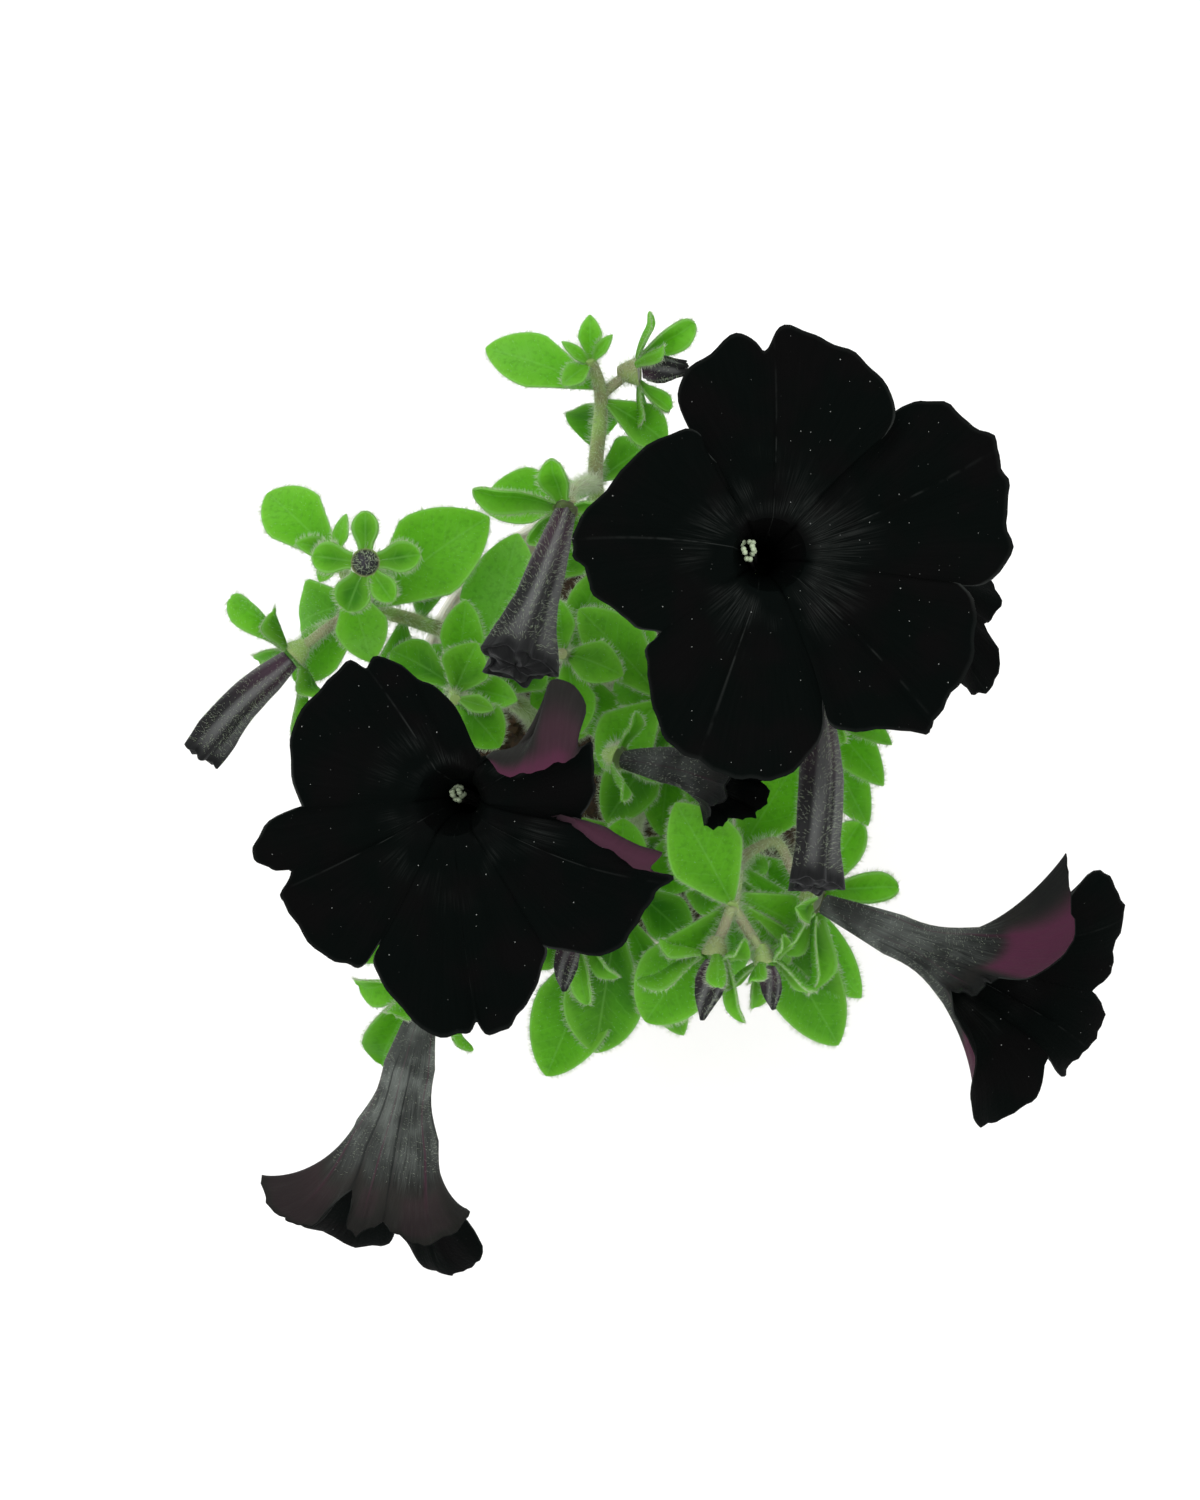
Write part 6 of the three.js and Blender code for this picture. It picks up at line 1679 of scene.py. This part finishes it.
@dataclass(frozen=True)
class VelvetPetal:
    """Inside of a black petal: velvety cells that swallow light, with painted grey sheen and edge
    highlights.

    The velvet's own cells are too fine to show, so its grain is drawn about half a millimetre across.
    """

    black: str = "#040706"
    violet: str = "#070707"
    # grey of the painted sheen, of the creases and of the painted edge highlight
    grey: str = "#3a3d3b"
    dust: str = "#c9cdc8"
    shift_size: float = 10.0
    cloud_size: float = 11.111
    crease_size: float = 3.3333
    dust_spacing: float = 1.66667
    velvet_size: float = 0.55556

    def material(self) -> bpy.types.Material:
        """Make the petal's inner material."""
        r = Recipe("black petal, velvet inside")
        add = r.add
        reach, aside = r.field("reach"), add(Step.ABSOLUTE, r.field("lobe"))
        shift = add(Step.NOISE, r.place, every(self.shift_size), 2)
        colour = add(Step.MIX, add(Step.RAMP, shift, 0.4, 0.7), self.black, self.violet)
        fibre = r.fibres(34.0, 2.6, 4)
        # Painted sheen: a grey cloud of fibres just outside the throat
        cloud = add(Step.RAMP, add(Step.NOISE, r.place, every(self.cloud_size), 2), 0.4, 0.62)
        near = add(Step.TIMES, add(Step.RAMP, reach, 1.0, 1.1), add(Step.RAMP, reach, 1.5, 1.08))
        painted_sheen = add(Step.TIMES, add(Step.TIMES, near, cloud), add(Step.RAMP, fibre, 0.4, 0.8, 0.0, 0.75))
        colour = add(Step.MIX, painted_sheen, colour, self.grey)
        broken = add(Step.RAMP, add(Step.NOISE, r.place, every(self.crease_size), 2), 0.4, 0.6)
        crease = add(Step.TIMES, add(Step.RAMP, aside, 0.022, 0.0), broken)
        crease = add(Step.TIMES, crease, add(Step.RAMP, reach, 2.0, 1.2, 0.05, 0.4))
        colour = add(Step.MIX, crease, colour, self.grey)
        # Painted highlight: a thin light-grey line along the limb's edge, stronger where the lobes lap at
        # the notches
        lapped = add(Step.RAMP, aside, 0.6, 0.95, 0.1, 0.5)
        edge = add(Step.TIMES, add(Step.RAMP, reach, 1.975, 1.995), lapped)
        colour = add(Step.MIX, edge, colour, self.grey)
        grain = add(Step.SPECKS, r.place, every(self.dust_spacing))
        chance = add(Step.SPLIT, grain.outputs["Color"])
        size = add(Step.TIMES, add(Step.RAMP, chance.outputs[0], 0.84, 1.0), 0.06)
        speck = add(Step.UNDER, grain.outputs["Distance"], size)
        speck = add(Step.TIMES, speck, add(Step.RAMP, chance.outputs[1], 0.3, 1, 0.02, 0.4))
        colour = add(Step.MIX, speck, colour, self.dust)
        velvet = add(Step.NOISE, r.place, every(self.velvet_size), 2)
        height = add(Step.PLUS, add(Step.TIMES, fibre, 0.6), velvet)
        return r.finish(r.surface(colour, fibre, (0.62, 0.8), 0.22, 0.5, height, IOR=1.35,
                                  Specular_IOR_Level=0.03))


@dataclass(frozen=True)
class PetalBack:
    """Outside of a petal: dark grey under silvery down, violet where it was folded in the bud."""

    dark: str = "#111313"
    grey: str = "#2c2e2c"
    umber: str = "#2b2724"
    violet: str = "#4a2438"
    silver: str = "#7a807b"
    blotch_size: float = 8.3333
    cloud_size: float = 6.25

    def material(self) -> bpy.types.Material:
        """Make the petal's outer material."""
        r = Recipe("black petal, downy back")
        add = r.add
        reach, violet, aside = r.field("reach"), r.field("violet"), add(Step.ABSOLUTE, r.field("lobe"))
        fibre = r.fibres(26.0, 3.5, 5)
        blotch = add(Step.NOISE, r.place, every(self.blotch_size), 3)
        cloud = add(Step.RAMP, add(Step.NOISE, r.place, every(self.cloud_size), 2), 0.36, 0.62, 0.25, 1.0)
        colour = add(Step.MIX, add(Step.RAMP, blotch, 0.3, 0.7), self.dark, self.grey)
        colour = add(Step.MIX, add(Step.TIMES, add(Step.RAMP, fibre, 0.4, 0.8), 0.25), colour, self.silver)
        tube = add(Step.TIMES, add(Step.RAMP, reach, 1.35, 0.5), add(Step.RAMP, fibre, 0.2, 0.75))
        colour = add(Step.MIX, add(Step.TIMES, tube, cloud), colour, self.silver)
        colour = add(Step.MIX, add(Step.RAMP, reach, 1.15, 1.5, 0.0, 0.7), colour, self.umber)
        folded = add(Step.TIMES, violet, add(Step.RAMP, fibre, 0.1, 0.6, 0.75, 1.0))
        colour = add(Step.MIX, folded, colour, self.violet)
        rib = add(Step.TIMES, add(Step.RAMP, aside, 0.07, 0.0), add(Step.RAMP, reach, 1.8, 1.0))
        colour = add(Step.MIX, add(Step.TIMES, rib, 0.6), colour, self.violet)
        # Painted shade: darkened along the seams between the lobes, from partway up the tube out to the
        # notches
        painted_seam_shade = add(Step.TIMES, add(Step.RAMP, aside, 0.84, 0.97), add(Step.RAMP, reach, 0.2, 0.6))
        dusk = add(Step.PLUS, r.field("shade"), add(Step.RAMP, reach, 1.2, 1.8, 0.0, 0.55))
        dusk = add(Step.TIMES, dusk, add(Step.MINUS, 1.0, add(Step.TIMES, violet, 0.8)))
        dusk = add(Step.LARGER, add(Step.TIMES, painted_seam_shade, 0.7), dusk)
        colour = add(Step.MIX, dusk, colour, self.dark)
        return r.finish(r.surface(colour, fibre, (0.6, 0.8), 0.3, 0.5, IOR=1.38, Specular_IOR_Level=0.1,
                                  Sheen_Weight=0.05, Sheen_Roughness=0.4, Sheen_Tint="#a9aeb0"))


@dataclass(frozen=True)
class FurledPetal:
    """Rolled petals of a bud: grey ribs under silver hairs, dark in the furrows, violet low down."""

    dark: str = "#1b1b1c"
    grey: str = "#6c6e6d"
    violet: str = "#3d2c38"
    black: str = "#0c0d0e"
    streaks: float = 9.0

    def material(self) -> bpy.types.Material:
        """Make the bud material."""
        r = Recipe("furled petal, ribbed and downy")
        add = r.add
        reach, around = r.field("reach"), r.field("around")
        ring = [add(Step.TIMES, add(step, around), self.streaks) for step in (Step.COSINE, Step.SINE)]
        streak = add(Step.NOISE, add(Step.JOIN, *ring, add(Step.TIMES, reach, 5.0)), 1.0, 4, 0.6)
        raised = add(Step.PLUS, r.field("rib"), add(Step.TIMES, streak, 0.9))
        fade = add(Step.RAMP, reach, 1.05, 0.6, 0.25, 0.6)
        raised = add(Step.TIMES, add(Step.RAMP, raised, -0.2, 1.6), fade)
        colour = add(Step.MIX, add(Step.RAMP, reach, 0.6, 0.05), self.dark, self.violet)
        colour = add(Step.MIX, raised, colour, self.grey)
        colour = add(Step.MIX, add(Step.RAMP, reach, 0.88, 0.98), colour, self.black)
        return r.finish(r.surface(colour, streak, (0.55, 0.75), 0.25, 0.6, IOR=1.38,
                                  Specular_IOR_Level=0.25, Sheen_Weight=0.15, Sheen_Roughness=0.4,
                                  Sheen_Tint="#c0c4c6"))


@dataclass(frozen=True)
class Anther:
    """Dark threads, and pale green anthers whose powder makes them look soft.

    Pollen is too fine to show, so its grain is drawn a third of a millimetre across.
    """

    thread: str = "#1d1a1c"
    powder: str = "#b9c9a8"
    powder_size: float = 0.33333

    def material(self) -> bpy.types.Material:
        """Make the stamen material."""
        r = Recipe("anther, powdery")
        dusty = r.add(Step.NOISE, r.place, every(self.powder_size), 3)
        colour = r.add(Step.MIX, r.field("pale"), self.thread, self.powder)
        colour = r.add(Step.MIX, r.add(Step.TIMES, dusty, 0.25), colour, self.thread)
        return r.finish(r.surface(colour, dusty, (0.6, 0.8), 0.1, 0.5))


@dataclass(frozen=True)
class PlantHair:
    """A fine glassy hair, green at its root and white at its tip."""

    root: str = "#cfe2b8"
    tip: str = "#f8faf4"
    glass: float = 0.65

    def material(self) -> bpy.types.Material:
        """Make the hair material."""
        r = Recipe("plant hair, glassy")
        colour = r.add(Step.MIX, r.field("tip"), self.root, self.tip)
        solid = r.add(Step.SOLID, Base_Color=colour, Roughness=0.4, IOR=1.4)
        return r.finish(r.add(Step.BLEND, self.glass, solid, r.add(Step.THROUGH, Color=colour)))


@dataclass(frozen=True)
class MouldedPlastic:
    """Off-white polypropylene, moulded: soft gloss with faint flow marks.

    The mould's grain is finer than the render shows, so it is drawn a third of a millimetre across.
    """

    white: str = "#dad7cd"
    shade: str = "#d3d0c6"
    flow_size: float = 20.0
    grain_size: float = 0.33333

    def material(self) -> bpy.types.Material:
        """Make the pot material."""
        r = Recipe("polypropylene, moulded off-white")
        flow = r.add(Step.NOISE, r.place, every(self.flow_size), 3)
        grain = r.add(Step.NOISE, r.place, every(self.grain_size), 2)
        colour = r.add(Step.MIX, r.add(Step.RAMP, flow, 0.35, 0.7), self.white, self.shade)
        return r.finish(r.surface(colour, flow, (0.38, 0.5), 0.03, 0.5, grain, IOR=1.49,
                                  Subsurface_Weight=0.05))


@dataclass(frozen=True)
class PeatMix:
    """Moist peat and bark crumbs, dark brown, or pale expanded grains among them."""

    dark: str = "#241810"
    light: str = "#5a4330"
    name: str = "peat and bark, moist"
    grit_size: float = 0.83333

    def material(self) -> bpy.types.Material:
        """Make the soil material."""
        r = Recipe(self.name)
        grit = r.add(Step.NOISE, r.place, every(self.grit_size), 5, 0.7)
        share = r.add(Step.PLUS, r.add(Step.TIMES, grit, 0.9), r.add(Step.TIMES, r.field("shade"), 0.35))
        colour = r.add(Step.MIX, r.add(Step.RAMP, share, 0.35, 0.95), self.dark, self.light)
        return r.finish(r.surface(colour, grit, (0.75, 0.95), 0.6, 0.8))


@dataclass(frozen=True)
class WhitePaper:
    """The studio's matt white paper, a little uneven so that it isn't one flat colour."""

    white: str = "#fcfcfc"
    shade: str = "#f6f6f6"
    cloud_size: float = 5.0

    def material(self) -> bpy.types.Material:
        """Make the floor material."""
        r = Recipe("studio floor, matt white paper")
        cloud = r.add(Step.NOISE, r.place, every(self.cloud_size), 2)
        colour = r.add(Step.MIX, r.add(Step.TIMES, cloud, 0.3), self.white, self.shade)
        return r.finish(r.add(Step.SOLID, Base_Color=colour, Roughness=0.9, Specular_IOR_Level=0.0))


class Wardrobe:
    """All the plant's and the pot's materials, each made once."""

    def __init__(self) -> None:
        """Make every material."""
        self.leaf = LeafBlade().material()
        self.stem = HairyStem().material()
        self.hair = PlantHair().material()
        self.velvet = VelvetPetal().material()
        self.petal_back = PetalBack().material()
        self.furled = FurledPetal().material()
        self.anther = Anther().material()
        self.plastic = MouldedPlastic().material()
        self.peat = PeatMix().material()
        self.perlite = PeatMix("#b8b4a8", "#ece9e0", "perlite grain").material()


# Studio


@dataclass(frozen=True)
class Studio:
    """A pale floor under soft light, and the camera high above the plant.

    The camera's and the floor's sizes are millimetres. The lamps' sizes and the height they aim at are
    metres.
    """

    centre: Point = (-7.175, -155.291, 924.959)
    tilt: float = 10.0
    field_height: float = 262.5
    distance: float = 800.0
    sensor: float = 24.0
    floor_half: float = 4000.0
    floor_drop: float = 0.2
    lamp_aim: float = 0.1
    daylight: float = 1.1

    def camera(self) -> None:
        """Set the camera at the photograph's viewing angle."""
        data = bpy.data.cameras.new("camera")
        data.sensor_fit = "VERTICAL"
        data.sensor_height = self.sensor
        data.lens = self.sensor * self.distance / self.field_height
        data.clip_start, data.clip_end = 0.05, 20
        camera = bpy.data.objects.new("camera", data)
        camera.location = [c * MM for c in self.centre]
        camera.rotation_euler = (math.radians(self.tilt), 0, 0)
        bpy.context.scene.collection.objects.link(camera)
        bpy.context.scene.camera = camera

    def lamp(self, name: str, at: Point, size: float, power: float) -> None:
        """Hang one soft square lamp that points at the plant.

        Args:
            name: the lamp's name.
            at: where it hangs, in metres.
            size: its side, in metres.
            power: its power in watts.
        """
        data = bpy.data.lights.new(name, "AREA")
        data.size, data.energy = size, power
        lamp = bpy.data.objects.new(name, data)
        lamp.location = at
        x, y, z = np.array([0, 0, self.lamp_aim]) - np.asarray(at, float)
        lamp.rotation_euler = (math.atan2(math.hypot(x, y), -z), 0, math.atan2(-x, y))
        bpy.context.scene.collection.objects.link(lamp)

    def build(self) -> None:
        """Set up the floor, the lights and the camera."""
        self.camera()
        mesh = PieceMesh()
        corners = np.array([(-1, -1, 0), (1, -1, 0), (1, 1, 0), (-1, 1, 0)], float) * self.floor_half
        mesh.add(corners, np.array([[0, 1, 2, 3]]), Where.FACE)
        floor = mesh.made("studio_floor", [WhitePaper().material()])
        floor.location.z = -self.floor_drop * MM
        world = bpy.data.worlds.new("studio")
        world.use_nodes = True
        sky = world.node_tree.nodes["Background"]
        sky.inputs[0].default_value = (1, 1, 1, 1)
        sky.inputs[1].default_value = self.daylight
        bpy.context.scene.world = world
        self.lamp("key", (-0.5, 0.3, 1.6), 0.9, 7)
        self.lamp("fill", (0.8, -0.6, 1.3), 1.0, 4)
        bpy.context.scene.view_settings.view_transform = "Standard"


def main() -> None:
    """Build the plant in its pot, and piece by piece."""
    logging.basicConfig(level=logging.INFO, format="%(message)s")
    dress = Wardrobe()
    Studio().build()
    NurseryPot().build(dress)
    PottingSoil().build(dress)
    for seed, grown in enumerate((*SHOOTS, *BLOOMS, *BUDS), start=1):
        grown.build(seed, dress)


if __name__ == "__main__":
    main()
